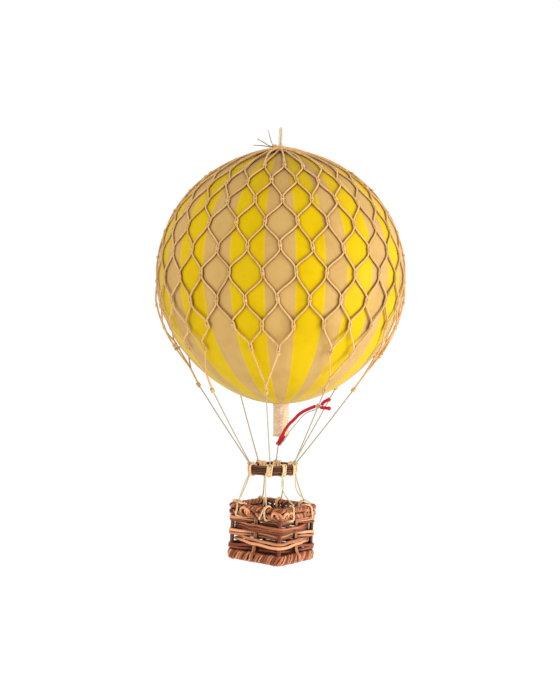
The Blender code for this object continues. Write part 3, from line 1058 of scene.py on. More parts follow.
@dataclass
class Net:
    """The knotted net: two cords come down to each knot, run through it side by side and part again.

    Its rows are turned a little more the higher they lie, and the last ones hang slack at the two sides.
    """

    finishes: Finishes
    cord: float = 0.0012
    columns: int = 26
    first_azimuth: float = radians(-1.0)
    twist: float = 0.0645
    twist_low: float = radians(-4)
    top_latitude: float = radians(75.0)
    row_pitch: float = radians(11.0)
    rows: int = 11
    hem_lift: float = 0.0025
    slack_left: float = 0.0028
    slack_right: float = 0.0012
    slack_rows: dict[int, float] = field(default_factory=lambda: {7: 0.2, 8: 0.85, 9: 0.85})
    hem_tilt: float = radians(2.5)
    crown_row: int = 2
    crown_tilt: float = radians(9.0)
    crown_gap: float = radians(3.2)
    heap_reach: float = radians(30.0)
    knot_half: float = radians(1.9)
    knot_steps: int = 4
    side_step: float = 0.0006
    wrap_cord: float = 0.00085
    wrap_wide: float = 0.00104
    wrap_deep: float = 0.00074
    wrap_slant: float = 0.0005
    roundness: float = 0.22
    jitter: float = radians(0.5)
    seed: int = 11
    line_azimuths: tuple[float, ...] = tuple(-8.5 + 45.0 * index for index in range(8))
    gather: float = radians(15.0)

    def __post_init__(self) -> None:
        """Reads the ball's size from the frame and shakes the knots a little out of line."""
        low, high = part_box("envelope")
        self.ball = (high.x - low.x) / 2
        self.centre = Vector((0.0, 0.0, high.z - self.ball))
        self.lie = self.ball + self.cord / 2 + 0.0002
        draw = random.Random(self.seed)
        self.shake = {
            (row, column): (draw.uniform(-1, 1) * self.jitter, draw.uniform(-1, 1) * self.jitter)
            for row in range(self.rows) for column in range(self.columns)
        }

    def knot(self, row: int, column: int) -> Place:
        """Gives a knot's azimuth, latitude and distance from the ball's middle.

        The last rows hang free of the ball, highest on the side where the load ring is nearest.

        Args:
            row: From 0 at the top.
            column: From 0 nearest the viewer; odd rows stand half a column on.

        Returns:
            The azimuth and the latitude in radians, and the distance.
        """
        column %= self.columns
        half_on = 0.5 if row % 2 == 1 else 0.0
        azimuth = self.first_azimuth + tau * (column + half_on) / self.columns
        freedom = (max(0, row - self.rows + 3) / 2) ** 2
        latitude = self.top_latitude - self.row_pitch * row - self.hem_tilt * freedom * sin(azimuth)
        aside, up = self.shake[(row, column)]
        slack = (self.slack_left if sin(azimuth) < 0 else self.slack_right) * sin(azimuth) ** 2
        slack *= self.slack_rows.get(row, 0.0)
        turned = azimuth + aside + self.twist * max(latitude, self.twist_low)
        return turned, latitude + up, self.lie + freedom * self.hem_lift + slack

    def gathered(self, line_azimuth: float) -> list[int]:
        """Finds the hem knots that one rigging line gathers.

        Args:
            line_azimuth: Where the line leaves the net, in radians.

        Returns:
            The columns of the last row.
        """
        found = []
        for column in range(self.columns):
            azimuth = self.first_azimuth + tau * column / self.columns
            away = (azimuth - line_azimuth + pi) % tau - pi
            if abs(away) <= self.gather:
                found.append(column)
        return found

    def hem_columns(self) -> set[int]:
        """Gives the columns of all hem knots."""
        return {
            column for azimuth in self.line_azimuths for column in self.gathered(radians(azimuth))
        }

    def through_knot(self, row: int, column: int, side: int) -> list[Vector]:
        """Leads one cord down through a knot, beside its neighbour.

        Args:
            row: The knot's row.
            column: The knot's column.
            side: 1 for the cord on the right, -1 for the one on the left.

        Returns:
            The points of the cord's centreline.
        """
        azimuth, latitude, lie = self.knot(row, column)
        lean, _ = self.shake[(row, (column + 7) % self.columns)]
        points = []
        for step in range(self.knot_steps + 1):
            share = step / self.knot_steps
            down = latitude + self.knot_half * (1.0 - 2.0 * share)
            bulge = 0.75 + 0.45 * sin(pi * share)
            aside = side * self.side_step * bulge + lean * (share - 0.5) * 0.12
            turn = aside / (lie * max(0.12, cos(down)))
            points.append(on_ball(azimuth + turn, down, lie))
        return points

    def between_knots(self, start: Vector, end: Vector, sag: float) -> list[Vector]:
        """Lays the cord over the ball from one knot to the next, leaving and reaching them upright.

        Args:
            start: The last point of the upper knot.
            end: The first point of the lower knot.
            sag: How far it lags sideways on its way down, as a share.

        Returns:
            The points between them, without the ends.
        """
        steps = max(2, round((end - start).length / 0.0017))
        points = []
        for step in range(1, steps):
            share = step / steps
            eased = share - self.roundness * sin(tau * share) / tau
            level = start.lerp(end, eased - sag * sin(pi * share))
            swung = Vector((level.x, level.y, start.lerp(end, share).z))
            reach = start.length + (end.length - start.length) * share
            points.append(swung.normalized() * reach)
        return points

    def from_crown(self, end: Vector, draw: random.Random) -> list[Vector]:
        """Leads a cord from the gathered crown straight down to its first knot.

        Args:
            end: The first point of that knot.
            draw: The random draws for its unevenness.

        Returns:
            The points before that one.
        """
        gather = Vector((0.0, -sin(self.crown_tilt), cos(self.crown_tilt)))
        way = end.normalized()
        whole = gather.angle(way)
        side = gather.cross(way).normalized()
        steps = max(4, round(self.lie * whole / 0.0022))
        wander = draw.uniform(-0.0022, 0.0022)
        layer = draw.uniform(0.0, 0.0024)
        points = []
        for step in range(steps):
            share = step / steps
            angle = self.crown_gap + (whole - self.crown_gap) * share
            turned = Matrix.Rotation(angle, 3, side) @ gather
            lift = layer * max(0.0, 1.0 - angle / self.heap_reach)
            aside = side * wander * sin(pi * min(1.0, share * 1.1))
            points.append(turned * (self.lie + lift) + aside)
        return points

    def strand(self, column: int, side: int, hem: set[int], draw: random.Random) -> list[Vector]:
        """Leads one cord from the crown down to the last knot that it reaches.

        Args:
            column: The column of its even rows.
            side: 1 where it swings to the right of that column, -1 to the left.
            hem: The columns of the hem knots.
            draw: The random draws for its unevenness.

        Returns:
            The points of its centreline from the ball's middle.
        """
        points = []
        for row in range(self.crown_row, self.rows):
            if row == self.rows - 1 and column not in hem:
                break
            odd = row % 2 == 1
            at_column = column if side > 0 or not odd else column - 1
            passed = self.through_knot(row, at_column, -side if odd else side)
            if points:
                sag = 0.025 if row < 7 else 0.01
                points += self.between_knots(points[-1], passed[0], sag + draw.uniform(-0.03, 0.04))
            else:
                points += self.from_crown(passed[0], draw)
            points += passed
        return points

    def wrap(self, row: int, column: int, draw: random.Random) -> Strand:
        """Winds a knot's own turns round the two cords that run through it.

        Args:
            row: The knot's row.
            column: The knot's column.
            draw: The random draws for its unevenness.

        Returns:
            The strand.
        """
        azimuth, latitude, lie = self.knot(row, column)
        out = on_ball(azimuth, latitude, 1.0)
        down = on_ball(azimuth, latitude - pi / 2, 1.0)
        side = down.cross(out)
        middle = self.centre + out * (lie + 0.0002)
        turns = draw.choice((1.6, 2.1, 2.6))
        steps_a_turn = 9
        steps = round(turns * steps_a_turn)
        start = draw.uniform(0, tau)
        hand = draw.choice((-1, 1))
        points = []
        for step in range(steps + 1):
            share = step / steps
            angle = start + hand * tau * turns * share
            swell = 1.0 + 0.15 * sin(pi * share)
            across = side * cos(angle) * self.wrap_wide * swell + out * sin(angle) * self.wrap_deep
            fall = self.wrap_cord * turns * (share - 0.5) + self.wrap_slant * sin(angle)
            points.append(middle + across + down * fall)
        return Strand(points, Make(self.wrap_cord, sides=6), draw.uniform(0.3, 0.8), taper=0.75)

    def build(self) -> None:
        """Builds all the net's cords as one piece, and the knots' turns as another."""
        hem = self.hem_columns()
        draw = random.Random(self.seed + 1)
        make = Make(self.cord, sides=6)
        strands = []
        for column in range(self.columns):
            for side in (1, -1):
                points = [self.centre + point for point in self.strand(column, side, hem, draw)]
                strands.append(Strand(points, make, draw.uniform(0.25, 0.85)))
        dress(make_strands(strands, "knotted_net"), self.finishes.net_twine, "net_cord", Body.BALLOON, "net")
        wraps = [
            self.wrap(row, column, draw)
            for row in range(self.crown_row, self.rows) for column in range(self.columns)
            if row < self.rows - 1 or column in hem
        ]
        dress(make_strands(wraps, "net_knots"), self.finishes.net_twine, "net_cord", Body.BALLOON)


@dataclass
class Crown:
    """The top of the net: a coil under its gathered cords, turns of twine over them and three frayed ends.

    Attributes:
        heap: The cords laid over the crown, each by the azimuths of its two ends in degrees, how far beside
            the middle it passes and how high it lies.
        lumps: The knot's small coils, each by its middle, its axis and its radius.
        frayed: The routes of the three loose ends out of the knot.
    """

    finishes: Finishes
    net: Net
    coil_cord: float = 0.0012
    coil_outer: float = 0.0082
    seed: int = 5
    heap_end: float = 0.0225
    heap_near: float = 0.0125
    heap: tuple[tuple[float, float, float, float], ...] = (
        (-75, 60, 0.003, 0.002), (-95, 110, 0.001, 0.0026), (-60, 150, 0.004, 0.0022),
        (-110, 40, 0.0035, 0.0018), (80, -130, 0.002, 0.003), (-88, 78, 0.0055, 0.0014),
    )
    lumps: tuple[tuple[Place, Place, float], ...] = (
        ((-0.0046, -0.012, -0.0168), (1.0, 0.3, 0.2), 0.0012),
        ((-0.0034, -0.014, -0.018), (0.2, 1.0, 0.4), 0.0013),
        ((0.0004, -0.012, -0.0172), (0.1, 0.2, 1.0), 0.0017),
        ((-0.002, -0.016, -0.0196), (1.0, -0.2, 0.6), 0.0012),
    )
    frayed_root: Place = (-0.0052, -0.0116, -0.017)
    frayed: tuple[Route, ...] = (
        ((-0.0067, -0.012, -0.0135), (-0.0077, -0.0126, -0.0105), (-0.0087, -0.013, -0.0064)),
        ((-0.0091, -0.012, -0.0157), (-0.0121, -0.0126, -0.0139), (-0.0154, -0.013, -0.0121)),
        ((-0.0097, -0.0128, -0.0167), (-0.0135, -0.0138, -0.0163), (-0.0176, -0.0142, -0.0161)),
    )

    def seat(self, reach: float, azimuth: float, lift: float) -> Vector:
        """Gives a point on the tipped crown: metres from its middle, an azimuth and metres above the net."""
        height = sqrt((self.net.lie + lift) ** 2 - reach ** 2)
        tilted = Matrix.Rotation(self.net.crown_tilt, 3, "X") @ outwards(azimuth, reach, height)
        return self.net.centre + tilted

    def spiral(self) -> list[Vector]:
        """Winds the coil from its rim inwards."""
        pitch = self.coil_cord * 0.98
        turns = (self.coil_outer - 0.0012) / pitch
        steps = round(turns * 22)
        points = []
        for step in range(steps + 1):
            share = step / steps
            lift = 0.0004 + 0.0012 * share
            points.append(self.seat(self.coil_outer - pitch * turns * share, tau * turns * share, lift))
        return points

    def heaped_cord(self, start: float, end: float, bend: float, lift: float) -> list[Vector]:
        """Lays a cord over the crown from one side to the other.

        Args:
            start: The azimuth where it comes up, in degrees.
            end: The azimuth where it goes down, in degrees.
            bend: How far beside the middle it passes.
            lift: How high it lies on the others.

        Returns:
            The points of its centreline.
        """
        azimuths = [radians(degrees) for degrees in (start, end)]
        ends = [self.seat(self.heap_end, azimuth, 0.0001) for azimuth in azimuths]
        nears = [self.seat(self.heap_near, azimuth, lift * 0.6) for azimuth in azimuths]
        beside = self.seat(bend, radians((start + end) / 2), lift)
        return smooth_route([ends[0], nears[0], beside, nears[1], ends[1]], 0.0011)

    def tuft(self, start: Vector, towards: Vector, draw: random.Random) -> list[Strand]:
        """Splays a cord's end into fine fibres.

        Args:
            start: Where the cord ends.
            towards: The way it runs there, as long as a fibre.
            draw: The random draws for its unevenness.

        Returns:
            The fibres.
        """
        strands = []
        for _ in range(5):
            spread = Vector((draw.uniform(-1, 1), draw.uniform(-1, 1), draw.uniform(-1, 1))) * 0.0005
            end = start + towards * draw.uniform(0.6, 1.2) + spread
            middle = (start + end) / 2 + spread * 0.4
            points = smooth_route([start, middle, end], 0.0008)
            strands.append(Strand(points, Make(0.00022, sides=4), draw.uniform(0.5, 1.0)))
        return strands

    def build(self) -> None:
        """Builds the coil, the knot and the loose ends."""
        draw = random.Random(self.seed)
        twine = Make(self.coil_cord, sides=8)
        strands = [Strand(self.spiral(), twine, 0.45)]
        for cord in self.heap:
            strands.append(Strand(self.heaped_cord(*cord), twine, draw.uniform(0.3, 0.9), taper=0.8))
        for centre, axis, radius in self.lumps:
            points = coil(Vector(centre), Vector(axis), radius, turns=2.4, rise=0.0022)
            strands.append(Strand(points, twine, draw.uniform(0.3, 0.8)))
        piece = make_strands(strands, "crown_knot")
        dress(piece, self.finishes.net_twine, "net_cord", Body.BALLOON, "crown_binding")
        thread = Make(0.0008, plies=2, turn=0.003)
        loose = []
        for route in self.frayed:
            points = smooth_route((self.frayed_root, *route), 0.0008)
            loose.append(Strand(points, thread, draw.uniform(0.0, 0.4), taper=0.7))
            loose += self.tuft(points[-1], (points[-1] - points[-3]) * 1.2, draw)
        dress(make_strands(loose, "frayed_ends"), self.finishes.line_twine, "net_cord", Body.BALLOON)


@dataclass
class HangingLoop:
    """The narrow loop of soft flat cord that the model hangs by."""

    finishes: Finishes
    cord: float = 0.0016
    leg_spread: float = 0.0015
    lean: float = 0.0006
    leg_steps: int = 7
    bow_steps: int = 8
    sunk: float = 0.0012

    def build(self) -> None:
        """Builds the loop up to the hang point."""
        low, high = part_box("hanging_loop")
        half = self.leg_spread / 2
        leg_top = high.z - self.cord / 2 - half
        legs = []
        for side, wave in ((1, 1.7), (-1, 2.1)):
            leg = [Vector((side * half, 0.0, low.z - self.sunk))]
            for step in range(1, self.leg_steps):
                height = low.z + (leg_top - low.z) * step / self.leg_steps
                leg.append(Vector((side * (half + 0.0001 * sin(step * wave)), 0.0, height)))
            legs.append(leg)
        bow = []
        for step in range(self.bow_steps + 1):
            angle = pi * step / self.bow_steps
            bow.append(Vector((half * cos(angle), 0.0, leg_top + half * sin(angle))))
        route = [*legs[0], *bow, *reversed(legs[1])]
        for point in route:
            point.x += self.lean * ((point.z - low.z) / (high.z - low.z) - 0.6)
        make = Make(self.cord, plies=3, turn=0.0052, sides=12, groove=0.08)
        loop = make_strands([Strand(smooth_route(route, 0.0005), make)], "hanging_cord")
        dress(loop, self.finishes.cream_cord, "cream_cord", Body.LOOP, "hanging_loop")


@dataclass
class LoadRing:
    """The ring of stacked turns of dark cane, and the twine bound round it at each line.

    Attributes:
        azimuths: Where the rigging's lines reach it, in degrees.
        cord_azimuths: Where the basket's cords hang on it, in degrees.
        loop_turns: How often each of those cords goes round it.
    """

    finishes: Finishes
    names: tuple[str, ...] = (
        "front", "front_right", "right", "back_right", "back", "back_left", "left", "front_left",
    )
    azimuths: tuple[float, ...] = (-5.0, 64.0, 90.0, 112.0, 171.0, 217.0, 260.0, 295.0)
    cord_azimuths: tuple[float, ...] = (276.0, 345.0, 25.0, 78.0, 102.0, 155.0, 200.0, 254.0)
    loop_turns: tuple[float, ...] = (1.6, 1.6, 3.2, 1.6, 1.6, 1.6, 1.6, 1.6)
    loop_shift: float = radians(4.0)
    binding_cord: float = 0.001
    binding_turns: float = 3.3
    turns: int = 5
    wall: float = 0.0032
    clearance: float = 0.0002
    line_clearance: float = 0.0003
    seed: int = 3

    def __post_init__(self) -> None:
        """Reads the ring's place and size from the frame."""
        low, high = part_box("load_ring")
        self.centre = (low + high) / 2
        self.radius = (high.x - low.x) / 2
        self.height = high.z - low.z

    def add_turn(self, level: int, draw: random.Random) -> Object:
        """Makes one turn of cane from a torus.

        Args:
            level: From 0 at the bottom.
            draw: The random draws for its unevenness.

        Returns:
            The turn, with its chart in metres.
        """
        tube = self.height / self.turns / 2 * 1.12
        major = self.radius - self.wall / 2
        rise = (level - (self.turns - 1) / 2) * (self.height - 2 * tube) / (self.turns - 1)
        middle = self.centre + UP * rise
        deselect_all()
        bpy.ops.mesh.primitive_torus_add(
            major_radius=major, minor_radius=tube, major_segments=96, minor_segments=12, location=middle,
            generate_uvs=True,
        )
        obj = take_primitive()
        phase = [draw.uniform(0, tau) for _ in range(3)]
        for vertex in obj.data.vertices:
            away = vertex.co - middle
            azimuth = atan2(away.y, away.x)
            level_out = hypot(away.x, away.y)
            across = (level_out - major) * (self.wall / 2 / tube)
            thick = 1.0 + 0.07 * sin(7 * azimuth + phase[0]) + 0.05 * sin(17 * azimuth + phase[1])
            wave = 0.00016 * sin(3 * azimuth + phase[2])
            reach = major + across * thick
            vertex.co = middle + Vector((
                reach * cos(azimuth), reach * sin(azimuth), away.z * thick * 1.04 + wave,
            ))
        measure_chart(obj, major)
        set_tone(obj, draw.uniform(0.2, 0.7))
        return obj

    def binding(self, azimuth: float, turns: float, draw: random.Random) -> Strand:
        """Winds twine round the ring's section, its turns side by side and a little slanted.

        Args:
            azimuth: Where it sits on the ring, in radians.
            turns: How often it goes round.
            draw: The random draws for its unevenness.

        Returns:
            The strand.
        """
        half_wide = self.wall / 2 + self.binding_cord / 2 + self.clearance
        half_high = self.height / 2 + self.binding_cord / 2 + self.clearance
        out = outwards(azimuth)
        along = Vector((-out.y, out.x, 0.0))
        middle = self.centre + outwards(azimuth, self.radius - self.wall / 2)
        steps_a_turn = 16
        slant = draw.uniform(-0.0006, 0.0006)
        phase = draw.uniform(0, tau)
        points = []
        steps = round(turns * steps_a_turn)
        for step in range(steps + 1):
            angle = tau * step / steps_a_turn + pi / 2
            across = half_wide * squarish(cos(angle), 0.6)
            up = half_high * squarish(sin(angle), 0.6)
            slide = self.binding_cord * 1.12 * turns * (step / steps - 0.5)
            slide += 0.00022 * sin(2.3 * angle + phase) + slant * sin(angle)
            points.append(middle + out * across + along * slide + UP * up)
        return Strand(points, Make(self.binding_cord, sides=8), draw.uniform(0.4, 0.9))

    def build(self) -> None:
        """Builds the ring's turns, its eight bindings and the loops that the basket's cords hang by."""
        draw = random.Random(self.seed)
        turns = [self.add_turn(level, draw) for level in range(self.turns)]
        ring = join(turns, "cane_ring")
        with editing(ring):
            bpy.ops.mesh.select_all(action="SELECT")
            bpy.ops.mesh.normals_make_consistent(inside=False)
        bpy.ops.object.shade_smooth()
        dress(ring, self.finishes.ring_cane, "dark_cane", Body.BALLOON, "load_ring")
        for name, degrees in zip(self.names, self.azimuths):
            binding = self.binding(radians(degrees), self.binding_turns, draw)
            twine = make_strands([binding], "ring_twine_" + name)
            dress(twine, self.finishes.tie_twine, "net_cord", Body.BALLOON, "ring_binding_" + name)
        loops = [
            self.binding(radians(degrees) + self.loop_shift, turns, draw)
            for degrees, turns in zip(self.cord_azimuths, self.loop_turns)
        ]
        dress(make_strands(loops, "ring_loops"), self.finishes.tie_twine, "net_cord", Body.BALLOON)


@dataclass
class Rigging:
    """The eight lines: legs from the net's hem, a gathering knot and one line on down to the load ring.

    Attributes:
        merges: How far down each line's legs meet, as a share of the way to its knot.
        knot_moves: How far some of the knots hang off their even places.
    """

    finishes: Finishes
    net: Net
    ring: LoadRing
    cord: float = 0.0009
    knot_middle: Place = (-0.0045, 0.0, -0.083)
    knot_radius: float = 0.058
    merges: tuple[float, ...] = (0.88, 0.62, 0.55, 0.55, 0.7, 0.55, 0.55, 0.55)
    knot_moves: dict[int, Place] = field(default_factory=lambda: {
        0: (0.003, 0.0, 0.0), 5: (0.0062, 0.0, 0.0), 6: (0.0008, 0.0, 0.0032), 7: (0.003, 0.0, 0.0006),
    })
    lashing: Make = Make(0.0009, sides=6)
    knot_twine: Make = Make(0.001, sides=6)
    leg_gap: float = 0.00075
    foot_lift: float = 0.0008
    sag: float = 0.0005
    seed: int = 23

    def leg(self, hem: Vector, knot: Vector, group: Vector, slip: Vector, merge: float) -> list[Vector]:
        """Leads one leg from its hem knot to the line's knot, the last part beside the other legs.

        Args:
            hem: The hem knot's lower end.
            knot: The line's knot.
            group: The middle of the line's hem knots.
            slip: How far beside the others it runs.
            merge: Where on the way to the knot it joins them, as a share.

        Returns:
            The points of its centreline.
        """
        meet = group.lerp(knot, merge) + slip
        near = group.lerp(knot, (1.0 + merge) / 2) + slip * 0.7
        return smooth_route([hem, hem.lerp(meet, 0.55), meet, near, knot], 0.0009)

    def build(self) -> None:
        """Builds each line with its legs and its knot."""
        draw = random.Random(self.seed)
        make = Make(self.cord, plies=2, turn=0.0034, sides=8, groove=0.25)
        leg_make = Make(self.net.cord * 0.95, sides=7)
        ring_top = self.ring.centre + UP * (self.ring.height / 2)
        for index, name in enumerate(self.ring.names):
            azimuth = radians(self.net.line_azimuths[index])
            knot = self.net.centre + Vector(self.knot_middle) + outwards(azimuth, self.knot_radius)
            knot += Vector(self.knot_moves.get(index, (0.0, 0.0, 0.0)))
            ring_azimuth = radians(self.ring.azimuths[index])
            reach = self.ring.radius + self.ring.line_clearance
            foot = ring_top + outwards(ring_azimuth, reach, self.foot_lift)
            middle = (knot + foot) / 2 - UP * self.sag
            tilted = outwards(azimuth, 1.0, 0.3)
            turns = coil(foot - UP * 0.0004, tilted, radius=0.0009, turns=1.8, rise=0.0016)
            strands = [
                Strand(smooth_route([knot, middle, foot], 0.0008), make, draw.uniform(0.3, 0.8)),
                Strand(turns, self.lashing, 0.6),
            ]
            line = make_strands(strands, "line_" + name)
            dress(line, self.finishes.line_twine, "rigging_cord", Body.BALLOON, "rigging_line_" + name)
            hems = []
            for column in self.net.gathered(azimuth):
                at_azimuth, latitude, lie = self.net.knot(self.net.rows - 1, column)
                hems.append(self.net.centre + on_ball(at_azimuth, latitude - self.net.knot_half, lie))
            group = sum(hems, Vector()) / len(hems)
            side = outwards(azimuth + pi / 2)
            legs = []
            for number, hem in enumerate(hems):
                slip = side * self.leg_gap * (number - (len(hems) - 1) / 2)
                points = self.leg(hem, knot, group, slip, self.merges[index])
                legs.append(Strand(points, leg_make, draw.uniform(0.3, 0.8)))
                turns = coil(hem, knot - hem, radius=0.001, turns=1.6, rise=0.0014)
                legs.append(Strand(turns, self.lashing, draw.uniform(0.4, 0.9)))
            turns = coil(knot, foot - knot, radius=0.00105, turns=3.4, rise=0.003)
            legs.append(Strand(turns, self.knot_twine, draw.uniform(0.4, 0.9)))
            piece = make_strands(legs, "legs_" + name)
            dress(piece, self.finishes.net_twine, "rigging_cord", Body.BALLOON)


@dataclass
class SquarePath:
    """A square with rounded corners, walked anticlockwise from above from the middle of its first side."""

    half: float
    corner: float

    @property
    def straight(self) -> float:
        """The length of one straight side."""
        return 2 * (self.half - self.corner)

    @property
    def quarter(self) -> float:
        """The length of one side and one corner."""
        return self.straight + pi / 2 * self.corner

    @property
    def length(self) -> float:
        """The length all the way round."""
        return 4 * self.quarter

    def at(self, distance: float) -> tuple[Vector, Vector]:
        """Gives the point at a distance along the path.

        Args:
            distance: Metres from the middle of the first side, which faces -Y.

        Returns:
            The point and the direction outwards there, both level.
        """
        number, rest = divmod(distance + self.straight / 2, self.quarter)
        turn = Matrix.Rotation(pi / 2 * (number % 4), 3, "Z")
        if rest <= self.straight:
            point = Vector((rest - self.straight / 2, -self.half, 0.0))
            out = Vector((0.0, -1.0, 0.0))
        else:
            angle = (rest - self.straight) / self.corner
            out = Vector((sin(angle), -cos(angle), 0.0))
            middle = self.half - self.corner
            point = Vector((middle, -middle, 0.0)) + out * self.corner
        return turn @ point, turn @ out


@dataclass
class Basket:
    """The square wicker basket: roped rim and foot, posts, double stakes, rows of weavers and a woven floor.

    Its places are those of the basket's own frame, whose origin is the middle of the rim's top. That frame is
    turned about the vertical and leans a little. Eight stations are counted round it from 0: the middles of
    the sides have even numbers and the corners odd ones.

    Attributes:
        slopes: For each row of weavers, how much higher it lies at some of the stations.
        rod_ends: The curls on the rim's outer face, each by its side, its middle along that side, its height,
            its radius, negative for the other hand, and how far round it goes in radians.
    """

    finishes: Finishes
    ring: LoadRing
    turn: float = radians(-34.1)
    lean: float = radians(2.8)
    shift: float = 0.0007
    drop: float = 0.0253
    half: float = 0.0244
    height: float = 0.0408
    overhang: float = 0.0004
    rim_wide: float = 0.0052
    rim_high: float = 0.0085
    rim_rod: float = 0.0017
    foot_wide: float = 0.0044
    foot_high: float = 0.0076
    foot_rod: float = 0.002
    post: float = 0.003
    post_inset: float = 0.0036
    rows: int = 5
    rod: float = 0.00232
    stake: float = 0.0015
    weave_corner: float = 0.0022
    reach_out: float = 0.0024
    reach_in: float = 0.0018
    slopes: dict[int, dict[int, float]] = field(default_factory=lambda: {
        0: {1: -0.0006}, 1: {7: 0.0006, 1: -0.0005, 2: 0.0003}, 2: {1: -0.0008},
        3: {7: 0.0011, 1: -0.0009, 2: 0.0004}, 4: {1: 0.0004},
    })
    rod_ends: tuple[tuple[int, float, float, float, float], ...] = (
        (0, -0.0088, -0.005, 0.003, 4.4), (0, -0.006, -0.0048, -0.0019, 3.6),
        (0, 0.0186, -0.0056, 0.0026, 4.0), (0, 0.0218, -0.0058, -0.0024, 3.2),
        (1, -0.0192, -0.0058, 0.0027, 3.4), (1, -0.014, -0.0052, 0.0022, 3.0),
        (1, 0.008, -0.005, -0.0022, 3.6), (2, -0.01, -0.005, 0.0026, 4.2),
        (2, 0.015, -0.0052, -0.0022, 3.6), (3, -0.013, -0.005, 0.0024, 4.0),
        (3, 0.006, -0.0052, -0.0026, 3.8),
    )
    seed: int = 41

    def __post_init__(self) -> None:
        """Works out the basket's own frame and its levels."""
        self.rim_low = -self.rim_high
        self.bottom = -self.height
        self.foot_top = self.bottom + self.foot_high
        self.post_at = self.half - self.post_inset
        self.outer = self.half + self.overhang
        middle = self.ring.centre + Vector((self.shift, 0.0, -self.drop))
        turned = Matrix.Rotation(self.lean, 4, "Y") @ Matrix.Rotation(self.turn, 4, "Z")
        self.place = Matrix.Translation(middle) @ turned

    def spot(self, along: float, out: float, height: float, face: int = 0) -> Vector:
        """Gives a point near one side of the basket.

        Args:
            along: Metres along the side from its middle, to the right as seen from outside.
            out: Metres outwards from the basket's middle.
            height: The height above the rim's top.
            face: Which side, from 0 on the viewer's left.

        Returns:
            The point in the model's frame.
        """
        local = Matrix.Rotation(pi / 2 * face, 4, "Z") @ Vector((along, -out, height))
        return self.place @ local

    def rope_border(
        self, path: SquarePath, middle: float, half_wide: float, half_high: float, rods: int, thick: float,
        turn: float, draw: random.Random,
    ) -> list[Strand]:
        """Twists rods round a square path, as a roped border.

        Args:
            path: The border's centreline.
            middle: The height of that line.
            half_wide: How far the rods' centres go inwards and outwards.
            half_high: How far they go up and down.
            rods: How many rods there are.
            thick: A rod's diameter.
            turn: The length of one whole twist; negative for the other hand.
            draw: The random draws for its unevenness.

        Returns:
            The strands.
        """
        turns = round(path.length / turn)
        steps = round(path.length / 0.00115)
        strands = []
        for rod in range(rods):
            points = []
            phase = tau * rod / rods + draw.uniform(-0.15, 0.15)
            waves = [draw.uniform(0, tau) for _ in range(2)]
            for step in range(steps):
                share = step / steps
                at, out = path.at(path.length * share)
                angle = tau * turns * share + phase
                angle += 0.3 * sin(tau * 5 * share + waves[0])
                angle += 0.15 * sin(tau * 17 * share)
                loose = 1.0 + 0.07 * sin(tau * 9 * share + waves[1])
                across = half_wide * loose * squarish(cos(angle), 0.75)
                up = half_high * loose * squarish(sin(angle), 0.85)
                points.append(self.place @ (at + out * across + UP * (middle + up)))
            make = Make(thick * draw.uniform(0.92, 1.06), sides=7)
            strands.append(Strand(points, make, draw.uniform(0.0, 0.7), closed=True))
        return strands

    def border_core(self, path: SquarePath, heights: Sequence[float], thick: float) -> list[Strand]:
        """Lays straight rods inside a border, so that it isn't hollow.

        Args:
            path: The border's centreline.
            heights: The height of each rod.
            thick: A rod's diameter.

        Returns:
            The strands.
        """
        strands = []
        steps = 80
        for height in heights:
            points = []
            for step in range(steps):
                at, _ = path.at(path.length * step / steps)
                points.append(self.place @ (at + UP * height))
            # The core rods take a dark tone: painted shade deep inside the border
            strands.append(Strand(points, Make(thick, sides=6), 0.1, closed=True))
        return strands

    def rod_end(
        self, face: int, along: float, height: float, radius: float, sweep: float, tone: float,
    ) -> Strand:
        """Curls the end of a turned-in rod over the outer face of the rim.

        Args:
            face: Which side.
            along: The curl's middle along the side.
            height: Its height.
            radius: Its radius, negative for the other hand.
            sweep: How far round it goes, in radians.
            tone: Its tone.

        Returns:
            The strand, both ends of which dive into the rim.
        """
        points = []
        steps = 14
        for step in range(steps + 1):
            share = step / steps
            angle = pi / 2 - sweep / 2 + sweep * share
            proud = 0.0012 * sin(pi * share) - 0.0011
            aside = along + radius * cos(angle)
            level = height + abs(radius) * sin(angle)
            points.append(self.spot(aside, self.outer + proud, level, face))
        return Strand(points, Make(self.rod * 0.9, sides=7), tone, taper=0.8)

    def weaver(self, row: int, rod: int, rods: int, draw: random.Random) -> Strand:
        """Weaves one rod all the way round, in and out of the posts and stakes.

        Even rows pass outside the corners on the left and right and inside the rest, odd rows the other way
        about.

        Args:
            row: From 0 under the rim.
            rod: From 0, the row's highest rod.
            rods: How many rods lie in the row.
            draw: The random draws for its unevenness.

        Returns:
            The strand.
        """
        pitch = (self.rim_low - self.foot_top) / self.rows
        thick = self.rod if rods == 2 else self.rod * 0.82
        spread = min(thick * 1.03, (pitch - thick) / (rods - 1))
        height = self.rim_low - pitch * (row + 0.5) - spread * (rod - (rods - 1) / 2)
        path = SquarePath(self.post_at, self.weave_corner)
